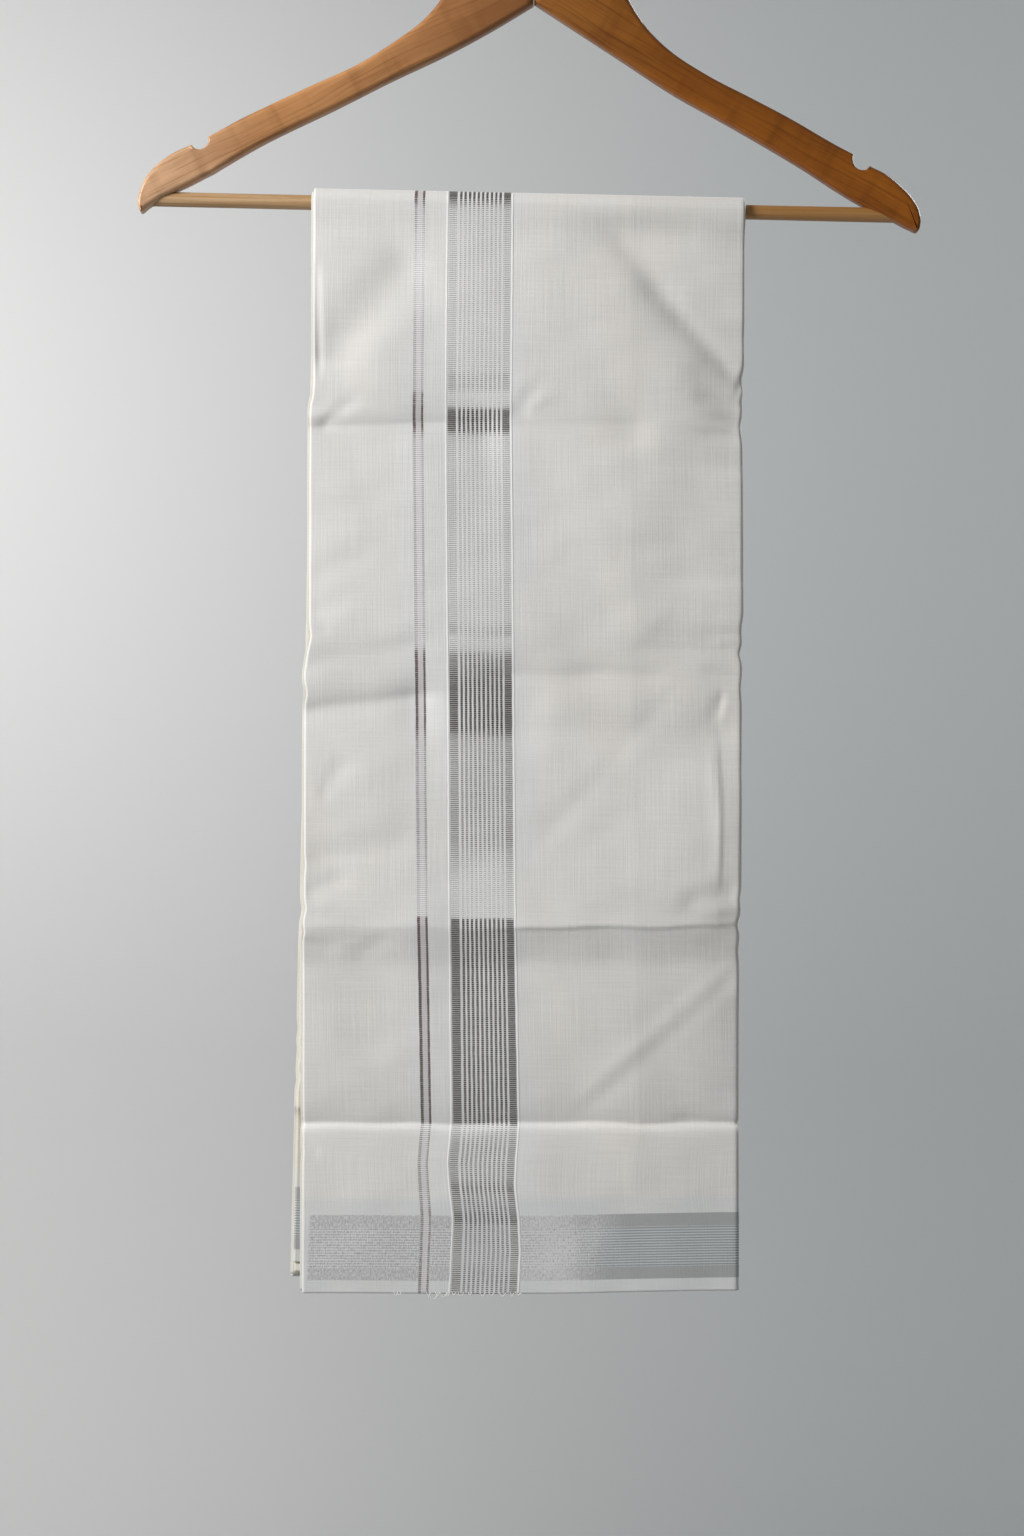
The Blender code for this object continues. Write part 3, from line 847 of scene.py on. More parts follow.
class Graph:
    """A material's node tree, with one short method for each kind of node that it uses."""

    def __init__(self, name: str) -> None:
        """Start an empty tree in a new material.

        Args:
            name: The material's name.
        """
        self.material = bpy.data.materials.new(name)
        self.material.use_nodes = True
        self.tree = self.material.node_tree
        self.tree.nodes.clear()

    def node(self, kind: str, inputs: dict[int | str, Input], **settings: object) -> bpy.types.Node:
        """Add a shader node.

        Args:
            kind: The node's type, without the word before it.
            inputs: Values or wires, by the input's number or name.
            settings: The node's own settings.

        Returns:
            The new node.
        """
        made = self.tree.nodes.new("ShaderNode" + kind)
        for key, value in settings.items():
            setattr(made, key, value)
        for key, value in inputs.items():
            held = made.inputs[key]
            if isinstance(value, Wire):
                self.tree.links.new(value.socket, held)
            else:
                held.default_value = (*value, 1.0) if held.type == "RGBA" else value
        return made

    def wire(self, kind: str, inputs: dict[int | str, Input], output: int | str = 0,
             **settings: object) -> Wire:
        """Add a shader node and return one of its outputs."""
        return Wire(self, self.node(kind, inputs, **settings).outputs[output])

    def math(self, operation: str, one: Input, two: Input = 0.0, clamp: bool = False) -> Wire:
        """Return a sum, product or other operation on two numbers."""
        return self.wire("Math", {0: one, 1: two}, operation=operation, use_clamp=clamp)

    def smooth(self, value: Input, low: float, high: float) -> Wire:
        """Return 0 below low and 1 above high, with a smooth step between them."""
        inputs = {"Value": value, "From Min": low, "From Max": high}
        return self.wire("MapRange", inputs, interpolation_type="SMOOTHSTEP")

    def within(self, value: Wire, low: float, high: float, soft: float) -> Wire:
        """Return 1 between low and high, fading over soft at each end."""
        half = (high - low) / 2
        return 1.0 - self.smooth(abs(value - (low + half)), half - soft / 2, half + soft / 2)

    def lines(self, value: Wire, start: float, pitch: float, half: float, soft: float) -> Wire:
        """Return 1 on evenly spaced lines, the first one centred at start."""
        place = self.math("FRACT", (value - (start - pitch / 2)) / pitch) - 0.5
        return 1.0 - self.smooth(abs(place) * pitch, half - soft, half + soft)

    def mix(self, share: Input, one: Input, two: Input, blend: str = "MIX") -> Wire:
        """Return a colour between two colours, or their product."""
        return self.wire("Mix", {0: share, 6: one, 7: two}, 2, data_type="RGBA", blend_type=blend)

    def part(self, vector: Wire, axis: int) -> Wire:
        """Return one part of a vector."""
        return self.wire("SeparateXYZ", {0: vector}, axis)

    def noise(self, vector: Wire, scale: tuple[float, float, float], detail: float = 2.0,
              rough: float = 0.5) -> Wire:
        """Return a noise with its own scale along each axis.

        Args:
            vector: The place.
            scale: The scale along each axis.
            detail: The number of finer octaves.
            rough: The share of the finer octaves.

        Returns:
            A number between 0 and 1.
        """
        stretched = self.wire("VectorMath", {0: vector, 1: scale}, operation="MULTIPLY")
        inputs = {"Vector": stretched, "Scale": 1.0, "Detail": detail, "Roughness": rough}
        return self.wire("TexNoise", inputs)

    def value(self, name: str) -> Wire:
        """Return a number that the mesh keeps at each point."""
        return self.wire("Attribute", {}, "Fac", attribute_name=name)

    def weave(self) -> Wire:
        """Return the UV map of the weave, in millimetres across and along the cloth."""
        return self.wire("UVMap", {}, uv_map="weave")

    def place(self) -> Wire:
        """Return the place on the object, in metres."""
        return self.wire("TexCoord", {}, "Object")

    def bump(self, height: Wire, distance: float, normal: Wire | None = None) -> Wire:
        """Return a normal that rises with the height, a distance in metres at height 1."""
        inputs: dict[int | str, Input] = {"Height": height, "Distance": distance, "Strength": 1.0}
        return self.wire("Bump", inputs if normal is None else inputs | {"Normal": normal})

    def finish(self, inputs: dict[int | str, Input]) -> bpy.types.Material:
        """Close the tree with a Principled shader and return the material."""
        self.node("OutputMaterial", {0: self.wire("BsdfPrincipled", inputs)})
        return self.material


@dataclass(frozen=True)
class Cotton:
    """Fine off-white plain weave, uneven in its yarns, with a soft sheen."""

    white: Colour = (0.80, 0.79, 0.772)
    warm: Colour = (0.815, 0.787, 0.75)
    cool: Colour = (0.785, 0.797, 0.80)
    # Painted shade: the shade colour paints the cloth's inner side, and the two inside colours paint
    # the hidden layers, darker and creamier than the white.
    shade: Colour = (0.74, 0.71, 0.62)
    inside_shade_dark: Colour = (0.66, 0.63, 0.55)
    inside_shade_light: Colour = (0.76, 0.74, 0.68)
    yarn_mm: float = 0.42
    yarn_contrast: float = 0.07
    layer_edge: float = 104.0
    roughness: float = 0.72
    sheen: float = 0.12

    def streaks(self, g: Graph, weave: Wire) -> Wire:
        """Return the uneven yarns: long thin noises along and across the weave."""
        along, across = (1.35, 0.022, 1.0), (0.028, 1.5, 1.0)
        return (g.noise(weave, along, 3.0) + g.noise(weave, across, 3.0)) * 0.5

    def ribs(self, g: Graph, u: Wire, v: Wire) -> Wire:
        """Return the plain weave's own relief: the product of two sines."""
        turn = math.pi / self.yarn_mm
        return g.math("SINE", u * turn) * g.math("SINE", v * turn)

    def colour(self, g: Graph, weave: Wire, u: Wire, streaks: Wire) -> Wire:
        """Return the cloth's own colour.

        It is white, warmer in broad patches and cooler round the band, and on the stack's
        inner side painted in the shade colour as painted shade. The yarns differ in lightness,
        and an edge of the layer below shows through as a faint line and a step.

        Args:
            g: The node tree.
            weave: The weave's UV map.
            u: The place across the weave.
            streaks: The uneven yarns.

        Returns:
            The colour.
        """
        edge = self.layer_edge
        light = g.smooth(streaks, 0.36, 0.64) * self.yarn_contrast + 0.95
        light = light - g.smooth(u, edge, edge + 1.6) * 0.05
        light = light - g.within(u, edge - 0.4, edge + 0.6, 0.5) * 0.03
        warm = g.smooth(g.noise(weave, (0.013, 0.009, 1.0)), 0.38, 0.62)
        white = g.mix(warm * 0.8, self.white, self.warm)
        white = g.mix(g.within(u, -26.0, 48.0, 16.0) * 0.5, white, self.cool)
        # Painted shade: the stack's inner side is painted in the shade colour.
        white = g.mix(g.value("inside"), white, self.shade)
        grey = g.wire("CombineColor", {0: light, 1: light, 2: light})
        return g.mix(1.0, white, grey, "MULTIPLY")


@dataclass(frozen=True)
class Zari:
    """Silver yarn woven in: its tones, painted as its reflection, and the places of its strips in
    millimetres.

    Those of the band and the pair are across the weave, and the border's are above the hem,
    apart from the one across the weave where it starts.
    """

    # Painted reflection of the silver yarn, mixed by its painted tone: the first colour is a painted
    # glint, the middle and mauve ones middle tones, and the dark, deep and reddish ones painted shade.
    bright: Colour = (0.86, 0.87, 0.87)
    middle: Colour = (0.46, 0.455, 0.45)
    mauve: Colour = (0.50, 0.455, 0.475)
    dark: Colour = (0.115, 0.10, 0.09)
    deep: Colour = (0.055, 0.045, 0.04)
    reddish_painted_shade: Colour = (0.15, 0.10, 0.09)
    lilac: Colour = (0.60, 0.575, 0.59)
    thread: Colour = (0.90, 0.905, 0.90)
    hem_tint: Colour = (0.66, 0.70, 0.715)
    # Painted reflection of the border: its bars, pale strip and lines are painted lighter to the left
    # and darker to the right.
    bar_left: Colour = (0.655, 0.66, 0.66)
    bar_right: Colour = (0.485, 0.495, 0.50)
    pale_left: Colour = (0.86, 0.87, 0.87)
    pale_right: Colour = (0.70, 0.735, 0.75)
    line_left: Colour = (0.57, 0.58, 0.58)
    line_right: Colour = (0.38, 0.405, 0.415)
    roughness: float = 0.42
    metal: float = 0.25
    tick_mm: float = 1.09
    bars: tuple[Strip, ...] = (Strip(0.1, 4.9, 0.5), Strip(31.3, 35.4, 0.5))
    between_bars: Strip = Strip(5.3, 30.9)
    stripes: Stripes = Stripes(6.95, 2.5, 0.68, 0.16)
    band: Strip = Strip(-1.2, 37.0, 0.5)
    cords: tuple[Strip, ...] = (Strip(-1.2, -0.3), Strip(36.0, 36.9))
    pair: tuple[Strip, ...] = (Strip(-19.5, -17.8, 0.5), Strip(-14.8, -13.5))
    pair_fill: Strip = Strip(-18.0, -14.6)
    pair_whole: Strip = Strip(-19.7, -13.3)
    border: Strip = Strip(7.4, 44.3, 0.5)
    border_pale: Strip = Strip(14.4, 36.9, 0.3)
    border_lines: Stripes = Stripes(15.15, 1.5, 0.4, 0.22)
    border_start: Strip = Strip(-83.0, -82.0)
    tinted_hem: Strip = Strip(50.0, 57.0)

    def painted_yarn(self, g: Graph, painted_tone: Wire, middle: Colour, deepest: Colour) -> Wire:
        """Return the silver yarn's colour with painted reflection: a painted glint, then the middle and
        the deepest painted shade.
        """
        grey = g.mix(g.smooth(painted_tone, -0.4, 0.2), self.bright, middle)
        return g.mix(g.smooth(painted_tone, 0.3, 0.95), grey, deepest)

    def ticks(self, g: Graph, weave: Wire, v: Wire) -> Wire:
        """Return how far each place is from the middle of a cross thread, 0 on it and 1 between."""
        drift = (g.noise(weave, (0.1, 0.12, 1.0)) - 0.5) * 0.5
        return abs(g.math("FRACT", (v + drift) / self.tick_mm) - 0.5) * 2.0

    @staticmethod
    def broken(g: Graph, weave: Wire, painted_tone: Wire, depth: float) -> Wire:
        """Make a painted reflection tone uneven by a small noise and by one that runs across the weave.

        Args:
            g: The node tree.
            weave: The weave's UV map.
            painted_tone: The tone.
            depth: How far each noise moves it.

        Returns:
            The tone, between 0 and 1.
        """
        small = g.noise(weave, (0.55, 0.8, 1.0), 3.0) - 0.5
        across = g.noise(weave, (0.05, 0.45, 1.0)) - 0.5
        return g.math("ADD", painted_tone, (small + across) * (depth * 2), clamp=True)

    @staticmethod
    def covered(g: Graph, ticks: Wire, painted_tone: Wire, most: float) -> Wire:
        """Return 1 where a white cross thread lies over the silver, wider where the painted reflection
        tone is pale.
        """
        return g.smooth((1.12 - painted_tone) * most - ticks, -0.12, 0.12)


@dataclass(frozen=True)
class ClothFinish:
    """The whole look of the cloth: cotton, the silver band and pair, and the hem borders."""

    cotton: Cotton = Cotton()
    zari: Zari = Zari()

    def material(self, name: str) -> bpy.types.Material:
        """Build the material on the weave's UV map and the values kept with the mesh.

        Args:
            name: The material's name.

        Returns:
            The material.
        """
        g, zari, cotton = Graph(name), self.zari, self.cotton
        weave, hem = g.weave(), g.value("hem")
        u, v = g.part(weave, 0), g.part(weave, 1)
        u = u + (g.noise(weave, (0.3, 0.11, 1.0)) - 0.5) * 0.5
        streaks, ticks = cotton.streaks(g, weave), zari.ticks(g, weave, v)
        near_hem = 1.0 - g.smooth(hem, zari.tinted_hem.low, zari.tinted_hem.high)
        colour = g.mix(near_hem * 0.55, cotton.colour(g, weave, u, streaks), zari.hem_tint)

        stripes = g.within(u, *zari.between_bars) * g.lines(u, *zari.stripes)
        bars, cords, pair = (self.both(g, u, strips) for strips in (zari.bars, zari.cords, zari.pair))
        # Painted reflection: the band's silver is painted bright or dark by the painted tone kept with
        # the mesh.
        painted_tone = zari.broken(g, weave, g.value("band"), 0.1)
        wide = zari.painted_yarn(g, painted_tone, zari.middle, zari.dark)
        thin = zari.painted_yarn(g, painted_tone, zari.middle, zari.deep)
        silver = g.mix(zari.covered(g, ticks, painted_tone, 0.74), g.mix(stripes, wide, thin), zari.thread)
        colour = g.mix(bars | stripes, colour, silver)
        colour = g.mix(cords, colour, zari.thread)

        # Painted reflection of the narrow pair, by its own painted tone.
        painted_tone = zari.broken(g, weave, g.value("pair"), 0.2)
        covered = zari.covered(g, ticks, painted_tone, 0.5)
        painted_yarn = zari.painted_yarn(g, painted_tone, zari.mauve, zari.reddish_painted_shade)
        fill = g.within(u, *zari.pair_fill)
        colour = g.mix(fill, colour, g.mix(covered, zari.lilac, zari.thread))
        colour = g.mix(pair, colour, g.mix(covered, painted_yarn, zari.thread))

        band = g.within(u, *zari.band)
        border, border_colour, grain = self.border(g, weave, u, hem, band)
        silver = bars | stripes | pair | border
        raised = cords + ticks * band * 0.4 + grain * 0.5
        fine = g.bump(cotton.ribs(g, u, v), 0.00002)
        return g.finish({
            "Base Color": g.mix(border, colour, border_colour),
            "Roughness": cotton.roughness - silver * (cotton.roughness - zari.roughness),
            "Metallic": silver * zari.metal,
            "Normal": g.bump(raised, 0.00012, g.bump(streaks, 0.00022, fine)),
            "Sheen Weight": cotton.sheen, "Sheen Roughness": 0.5,
        })

    @staticmethod
    def both(g: Graph, u: Wire, strips: tuple[Strip, ...]) -> Wire:
        """Return 1 on either of two strips."""
        return g.within(u, *strips[0]) | g.within(u, *strips[1])

    def border(self, g: Graph, weave: Wire, u: Wire, hem: Wire, band: Wire) -> tuple[Wire, Wire, Wire]:
        """Return the hem border: two bars with fine lines between them.

        To the left it is painted lighter with painted glints, and to the right darker and even, as
        painted reflection of the silver yarn.

        Args:
            g: The node tree.
            weave: The weave's UV map.
            u: The place across the weave.
            hem: The distance from the hem.
            band: Where the band lies over the border.

        Returns:
            Its mask, its colour and its grain.
        """
        zari = self.zari
        pale = g.within(hem, *zari.border_pale)
        lines = pale * g.lines(hem, *zari.border_lines)
        free = 1.0 - (band | g.within(u, *zari.pair_whole))
        free = free * g.smooth(u, zari.border_start.low, zari.border_start.high)
        mask = g.within(hem, *zari.border) * free
        grain = g.noise(weave, (1.15, 0.5, 1.0), 3.0, 0.75)
        place = u + (g.noise(weave, (0.06, 0.03, 1.0), 1.0) - 0.5) * 24.0
        # Painted reflection: the border's silver is painted lighter to the left and darker to the
        # right.
        right = g.smooth(place, 62.0, 104.0)
        left = 1.0 - right
        bar = g.mix(right, zari.bar_left, zari.bar_right)
        colour = g.mix(pale, bar, g.mix(right, zari.pale_left, zari.pale_right))
        colour = g.mix(lines, colour, g.mix(right, zari.line_left, zari.line_right))
        # Painted highlight: a brighter patch, and to the left painted glints with darker grain between
        # them.
        colour = g.mix(g.within(place, 38.0, 70.0, 24.0) * 0.5, colour, zari.thread)
        colour = g.mix(g.smooth(grain, 0.5, 0.62) * left * 0.75, colour, zari.thread)
        colour = g.mix(g.smooth(grain, 0.48, 0.36) * left * 0.5, colour, zari.line_right)
        return mask, colour, grain * mask


@dataclass(frozen=True)
class HiddenFinish:
    """The same cotton inside the fold, painted darker and creamier as painted shade, and without the
    silver.
    """

    cotton: Cotton = Cotton()

    def material(self, name: str) -> bpy.types.Material:
        """Build the material on the weave's UV map.

        Args:
            name: The material's name.

        Returns:
            The material.
        """
        g, cotton = Graph(name), self.cotton
        weave = g.weave()
        streaks = cotton.streaks(g, weave)
        fine = g.bump(cotton.ribs(g, g.part(weave, 0), g.part(weave, 1)), 0.00002)
        return g.finish({
            # Painted shade: the hidden layers are painted between two darker cream colours.
            "Base Color": g.mix(g.smooth(streaks, 0.34, 0.66), cotton.inside_shade_dark, cotton.inside_shade_light),
            "Roughness": cotton.roughness, "Normal": g.bump(streaks, 0.0002, fine),
            "Sheen Weight": cotton.sheen,
        })


@dataclass(frozen=True)
class ThreadFinish:
    """Loose white yarn ends."""

    dark: Colour = (0.7, 0.7, 0.68)
    light: Colour = (0.86, 0.86, 0.84)

    def material(self, name: str) -> bpy.types.Material:
        """Build the material on Object coordinates, with a fine twist.

        Args:
            name: The material's name.

        Returns:
            The material.
        """
        g = Graph(name)
        twist = g.noise(g.place(), (2500.0, 2500.0, 900.0))
        return g.finish({
            "Base Color": g.mix(twist, self.dark, self.light), "Roughness": 0.7,
            "Normal": g.bump(twist, 0.00005),
        })


@dataclass(frozen=True)
class VarnishedWood:
    """Orange-brown wood under a gloss varnish, its grain along the arm.

    The colours are those at the middle of the hanger, half way out and at the tip, and the
    colour of the grain. Half way out and at the tip they are painted light: lighter, with a
    painted highlight at the tip, on the lit arm, and darker as painted shade on the other.
    """

    slope_deg: float
    middle: Colour
    light: Colour
    tip: Colour
    dark: Colour
    coat: float

    def material(self, name: str) -> bpy.types.Material:
        """Build the material: grain lines, slow figure, pores, worn glossy varnish and painted light
        along the arm.

        Args:
            name: The material's name.

        Returns:
            The material.
        """
        g = Graph(name)
        turn = (0.0, math.radians(self.slope_deg), 0.0)
        place = g.wire("Mapping", {0: g.place(), 2: turn})
        rise = g.wire("CombineXYZ", {2: g.noise(place, (9.0, 30.0, 22.0)) * 0.012})
        bent = g.wire("VectorMath", {0: place, 1: rise}, operation="ADD")
        figure = g.noise(bent, (14.0, 40.0, 60.0), 3.0, 0.55)
        grain = g.noise(bent, (16.0, 500.0, 620.0), 4.0, 0.6)
        flame = g.noise(place, (95.0, 40.0, 16.0))
        pores = g.noise(bent, (55.0, 1500.0, 1700.0))
        # Painted light: outwards from the middle the colour moves to the lighter or darker one, and
        # near the tip to the tip one.
        out = abs(g.part(g.place(), 0))
        colour = g.mix(g.smooth(out, 0.0, 0.1), self.middle, self.light)
        colour = g.mix(g.smooth(out, 0.14, 0.215), colour, self.tip)
        for mark, low, high, share in (
            (figure, 0.3, 0.7, 0.36), (grain, 0.46, 0.72, 0.5),
            (flame, 0.46, 0.7, 0.3), (pores, 0.62, 0.75, 0.35),
        ):
            colour = g.mix(g.smooth(mark, low, high) * share, colour, self.dark)
        dents = g.noise(g.place(), (260.0, 260.0, 260.0))
        return g.finish({
            "Base Color": colour, "Roughness": figure * 0.14 + 0.3,
            "Normal": g.bump(grain * 0.5 + dents, 0.00009),
            "Coat Weight": self.coat, "Coat Roughness": 0.13, "Specular IOR Level": 0.2,
        })


@dataclass(frozen=True)
class PaleWood:
    """Pale turned beech for the bar, its grain along X, darker and browner to the right as a painted
    shadow.
    """

    light: Colour = (0.60, 0.40, 0.22)
    deep: Colour = (0.40, 0.215, 0.085)
    painted_shadow: Colour = (0.31, 0.125, 0.012)

    def material(self, name: str) -> bpy.types.Material:
        """Build the material on Object coordinates.

        Args:
            name: The material's name.

        Returns:
            The material.
        """
        g = Graph(name)
        place = g.place()
        grain = g.noise(place, (12.0, 900.0, 900.0), 3.0)
        flecks = g.noise(place, (170.0, 1500.0, 1500.0))
        colour = g.mix(g.smooth(grain, 0.35, 0.7), self.light, self.deep)
        colour = g.mix(g.smooth(flecks, 0.58, 0.7) * 0.4, colour, self.deep)
        # Painted shadow: the bar is painted darker and browner to the right.
        colour = g.mix(g.smooth(g.part(place, 0), -0.1, 0.16) * 0.7, colour, self.painted_shadow)
        return g.finish({
            "Base Color": colour, "Roughness": 0.42, "Normal": g.bump(grain, 0.00006),
            "Coat Weight": 0.12, "Coat Roughness": 0.3,
        })


@dataclass(frozen=True)
class SteelWire:
    """Bright drawn wire with fine marks along it."""

    dark: Colour = (0.52, 0.52, 0.53)
    light: Colour = (0.72, 0.72, 0.72)

    def material(self, name: str) -> bpy.types.Material:
        """Build the material on Object coordinates.

        Args:
            name: The material's name.

        Returns:
            The material.
        """
        g = Graph(name)
        marks = g.noise(g.place(), (900.0, 900.0, 900.0), 3.0)
        return g.finish({
            "Base Color": g.mix(marks, self.dark, self.light), "Metallic": 1.0,
            "Roughness": marks * 0.16 + 0.2, "Normal": g.bump(marks, 0.00003),
        })


# Lit and shaded copies of one wood: the left arm is painted lighter outwards with a painted highlight
# at its tip, the right arm painted darker outwards as painted shade.
LEFT_WOOD_PAINTED_LIT = VarnishedWood(
    28.0, (0.30, 0.125, 0.042), (0.56, 0.27, 0.108), (0.70, 0.43, 0.25), (0.2, 0.07, 0.02), 0.25,
)
RIGHT_WOOD_PAINTED_SHADE = VarnishedWood(
    -28.0, (0.31, 0.12, 0.025), (0.28, 0.088, 0.010), (0.32, 0.10, 0.010), (0.09, 0.025, 0.005), 0.06,
)


@dataclass
class OuterLength:
    """The outermost length: front panel, right-hand fold and inner panel, over the bar."""

    width: float = 245.0
    edge_columns: int = 10
    edge_step: float = 1.3
    middle_columns: int = 54
    fold_columns: int = 8
    inner_columns: int = 10
    inner_end: tuple[float, ...] = (0.94, 0.97, 0.985, 0.995, 1.0)
    row_step: float = 3.5
    crease_step: float = 1.05
    arc_rows: int = 12

    def shares(self) -> Array:
        """Lay out the columns of the flat side, close together near both edges.

        Returns:
            Places across it as shares, from the left edge to the right.
        """
        edge = self.edge_step * np.arange(self.edge_columns) / self.width
        middle = np.linspace(edge[-1], 1 - edge[-1], self.middle_columns)
        return np.concatenate([edge, middle[1:-1], (1 - edge)[::-1]])

    def section(self, left: Array, right: Array, stack: Array,
                side: HungSide) -> tuple[Array, Array, Array]:
        """Return the C of the outermost length in each row.

        The outer side runs from the left edge to the fold, the fold is half a circle as deep
        as the stack, and the inner side runs back and ends a little inside the left edge.

        Args:
            left: The left edges.
            right: The right edges.
            stack: The stack's depths.
            side: The drop.

        Returns:
            Places across, depths from the inner side, and how far each point's hem is lifted.
        """
        round_x = right - stack / 2
        outer = self.shares()
        turn = np.linspace(0.0, math.pi, self.fold_columns + 2)[1:-1]
        inner = 1 - np.concatenate([np.linspace(0.0, 0.9, self.inner_columns), self.inner_end])
        inner_left = left + INNER_EDGE
        x = np.concatenate([
            left + outer * (round_x - left),
            round_x + stack / 2 * np.sin(turn),
            inner_left + inner * (round_x - inner_left),
        ], 1)
        depth = np.concatenate([
            np.broadcast_to(stack, (len(stack), len(outer))),
            stack / 2 * (1 + np.cos(turn)),
            np.zeros((len(stack), len(inner))),
        ], 1)
        lift = np.concatenate([
            np.zeros(len(outer)), np.zeros(len(turn)), side.hem_shift * (1 - inner),
        ])
        return x, depth, np.broadcast_to(lift, x.shape)

    def build(self) -> bpy.types.Object:
        """Make the thin closed wall and dress it.

        Returns:
            The piece, which stands for the node of the outermost length.
        """
        grid = Grid(FRONT, BACK, self.row_step, self.crease_step, self.arc_rows)
        points, values = grid.surface(self.section)
        piece = Piece("dhoti_cloth_outer")
        piece.add(points, closed=False, values=values)
        made = piece.build(("across", "along"))
        wall = made.modifiers.new("wall", "SOLIDIFY")
        wall.thickness = WALL * MM
        wall.offset = -1.0
        made.data.materials.append(ClothFinish().material("dhoti_cotton_and_silver"))
        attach(made, BODY)
        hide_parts("dhoti_outer_length")
        return made


@dataclass
class HiddenLayers:
    """The layers inside the fold: thin folded leaves with uneven edges and hems."""

    across: int = 26
    margin: float = 0.85
    filled: float = 0.86
    row_step: float = 6.0
    crease_step: float = 1.5
    arc_rows: int = 8
    coarse: float = 8.0

    def section(self, leaf: Leaf, start: float, end: float) -> Section:
        """Return the section of one leaf, a flat ring with round edges.

        Args:
            leaf: Its insets.
            start: The share of the stack's free depth where it begins.
            end: The share where it ends.

        Returns:
            The function that gives x, depth and lift for each row.
        """
        def ring(left: Array, right: Array, stack: Array,
                 side: HungSide) -> tuple[Array, Array, Array]:
            """Run round the leaf: outer side, right edge, inner side, left edge.

            Both edges are half circles. The right one lies inside the circle of the stack's fold.

            Args:
                left: The left edges.
                right: The right edges.
                stack: The stack's depths.
                side: The drop.

            Returns:
                Places across, depths from the inner side, and how far the hem is lifted.
            """
            free = stack - 2 * self.margin
            low, high = self.margin + start * free, self.margin + end * free
            middle, half = (low + high) / 2, (high - low) / 2
            front = side.side is Side.FRONT
            edge = left + (leaf.front if front else leaf.back)
            bulge = np.sqrt(np.maximum((stack / 2 - self.margin) ** 2 - (middle - stack / 2) ** 2, 0.0))
            last = right - stack / 2 + bulge
            turn = np.linspace(0.0, math.pi, 5)[1:-1]
            share = np.linspace(0.0, 1.0, self.across)
            side_x = edge + half + share * (last - edge - 2 * half)
            x = np.concatenate([
                side_x, last - half + half * np.sin(turn), side_x[:, ::-1],
                edge + half - half * np.sin(turn),
            ], 1)
            depth = np.concatenate([
                np.broadcast_to(high, side_x.shape), middle + half * np.cos(turn),
                np.broadcast_to(low, side_x.shape), middle - half * np.cos(turn),
            ], 1)
            lift = leaf.front_hem if front else leaf.back_hem
            return x, depth, np.full(x.shape, lift)
        return ring

    def build(self) -> bpy.types.Object:
        """Join the leaves in one piece and dress it.

        Returns:
            The piece, which stands for the node of the hidden layers.
        """
        grid = Grid(FRONT, BACK, self.row_step, self.crease_step, self.arc_rows, self.coarse)
        piece = Piece("dhoti_cloth_hidden_layers")
        for place, leaf in enumerate(LEAVES):
            start, end = place / len(LEAVES), (place + self.filled) / len(LEAVES)
            points, values = grid.surface(self.section(leaf, start, end))
            kept = {name: values[name] for name in ("across", "along")}
            piece.add(points, capped=True, values=kept)
        made = piece.build(("across", "along"))
        made.data.materials.append(HiddenFinish().material("dhoti_cotton_inside_painted_shade"))
        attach(made, BODY)
        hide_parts("dhoti_hidden_layers")
        return made


def tube(path: Array, radius: Array | float, sides: int) -> Array:
    """Carry a circle along a path.

    Each ring lies in the plane square to the path. Its first axis is the path's direction
    crossed with Y, and its second one is square to both.

    Args:
        path: Points in order.
        radius: One radius, or one for each point.
        sides: Points in a ring.

    Returns:
        Rings of points, one for each point of the path.
    """
    run = np.gradient(path, axis=0)
    run /= np.linalg.norm(run, axis=1, keepdims=True)
    one = np.cross(run, (0.0, 1.0, 0.0))
    one /= np.maximum(np.linalg.norm(one, axis=1, keepdims=True), 1e-6)
    two = np.cross(run, one)
    turn = np.linspace(0.0, 2 * math.pi, sides, endpoint=False)
    wide = np.broadcast_to(radius, len(path))[:, None, None]
    ring = np.cos(turn)[None, :, None] * one[:, None] + np.sin(turn)[None, :, None] * two[:, None]
    return path[:, None] + wide * ring


@dataclass
class LooseThreads:
    """Yarn ends that hang in small loops where the band meets the front hem."""

    loops: tuple[Loop, ...] = LOOPS
    radius: float = 0.27
    tucked: float = 0.9
    lean: float = 0.35
    steps: int = 17

    def build(self) -> bpy.types.Object:
        """Make the loops as fine tubes from the hem down and back up to it.

        A loop is half a sine below the hem, leant sideways by its sway, with both ends
        tucked into the cloth's thickness.

        Returns:
            The piece.
        """
        piece = Piece("dhoti_loose_threads")
        share = np.linspace(0.0, 1.0, self.steps)
        dip = np.sin(math.pi * share)
        for loop in self.loops:
            x = loop.x0 + share * (loop.x1 - loop.x0)
            z = FRONT.hem(x) + self.tucked - (loop.drop + self.tucked) * dip
            stack = columns(FRONT.drop, "stack", z)
            out = BAR_TO_CLOTH + stack + FRONT.relief(x, z) - WALL / 2 + self.lean * dip
            path = np.stack([x + loop.sway * np.sin(2 * math.pi * share), -out, z], 1)
            piece.add(tube(path, self.radius, 6), capped=True)
        made = piece.build()
        made.data.materials.append(ThreadFinish().material("dhoti_loose_yarn"))
        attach(made, BODY)
        return made


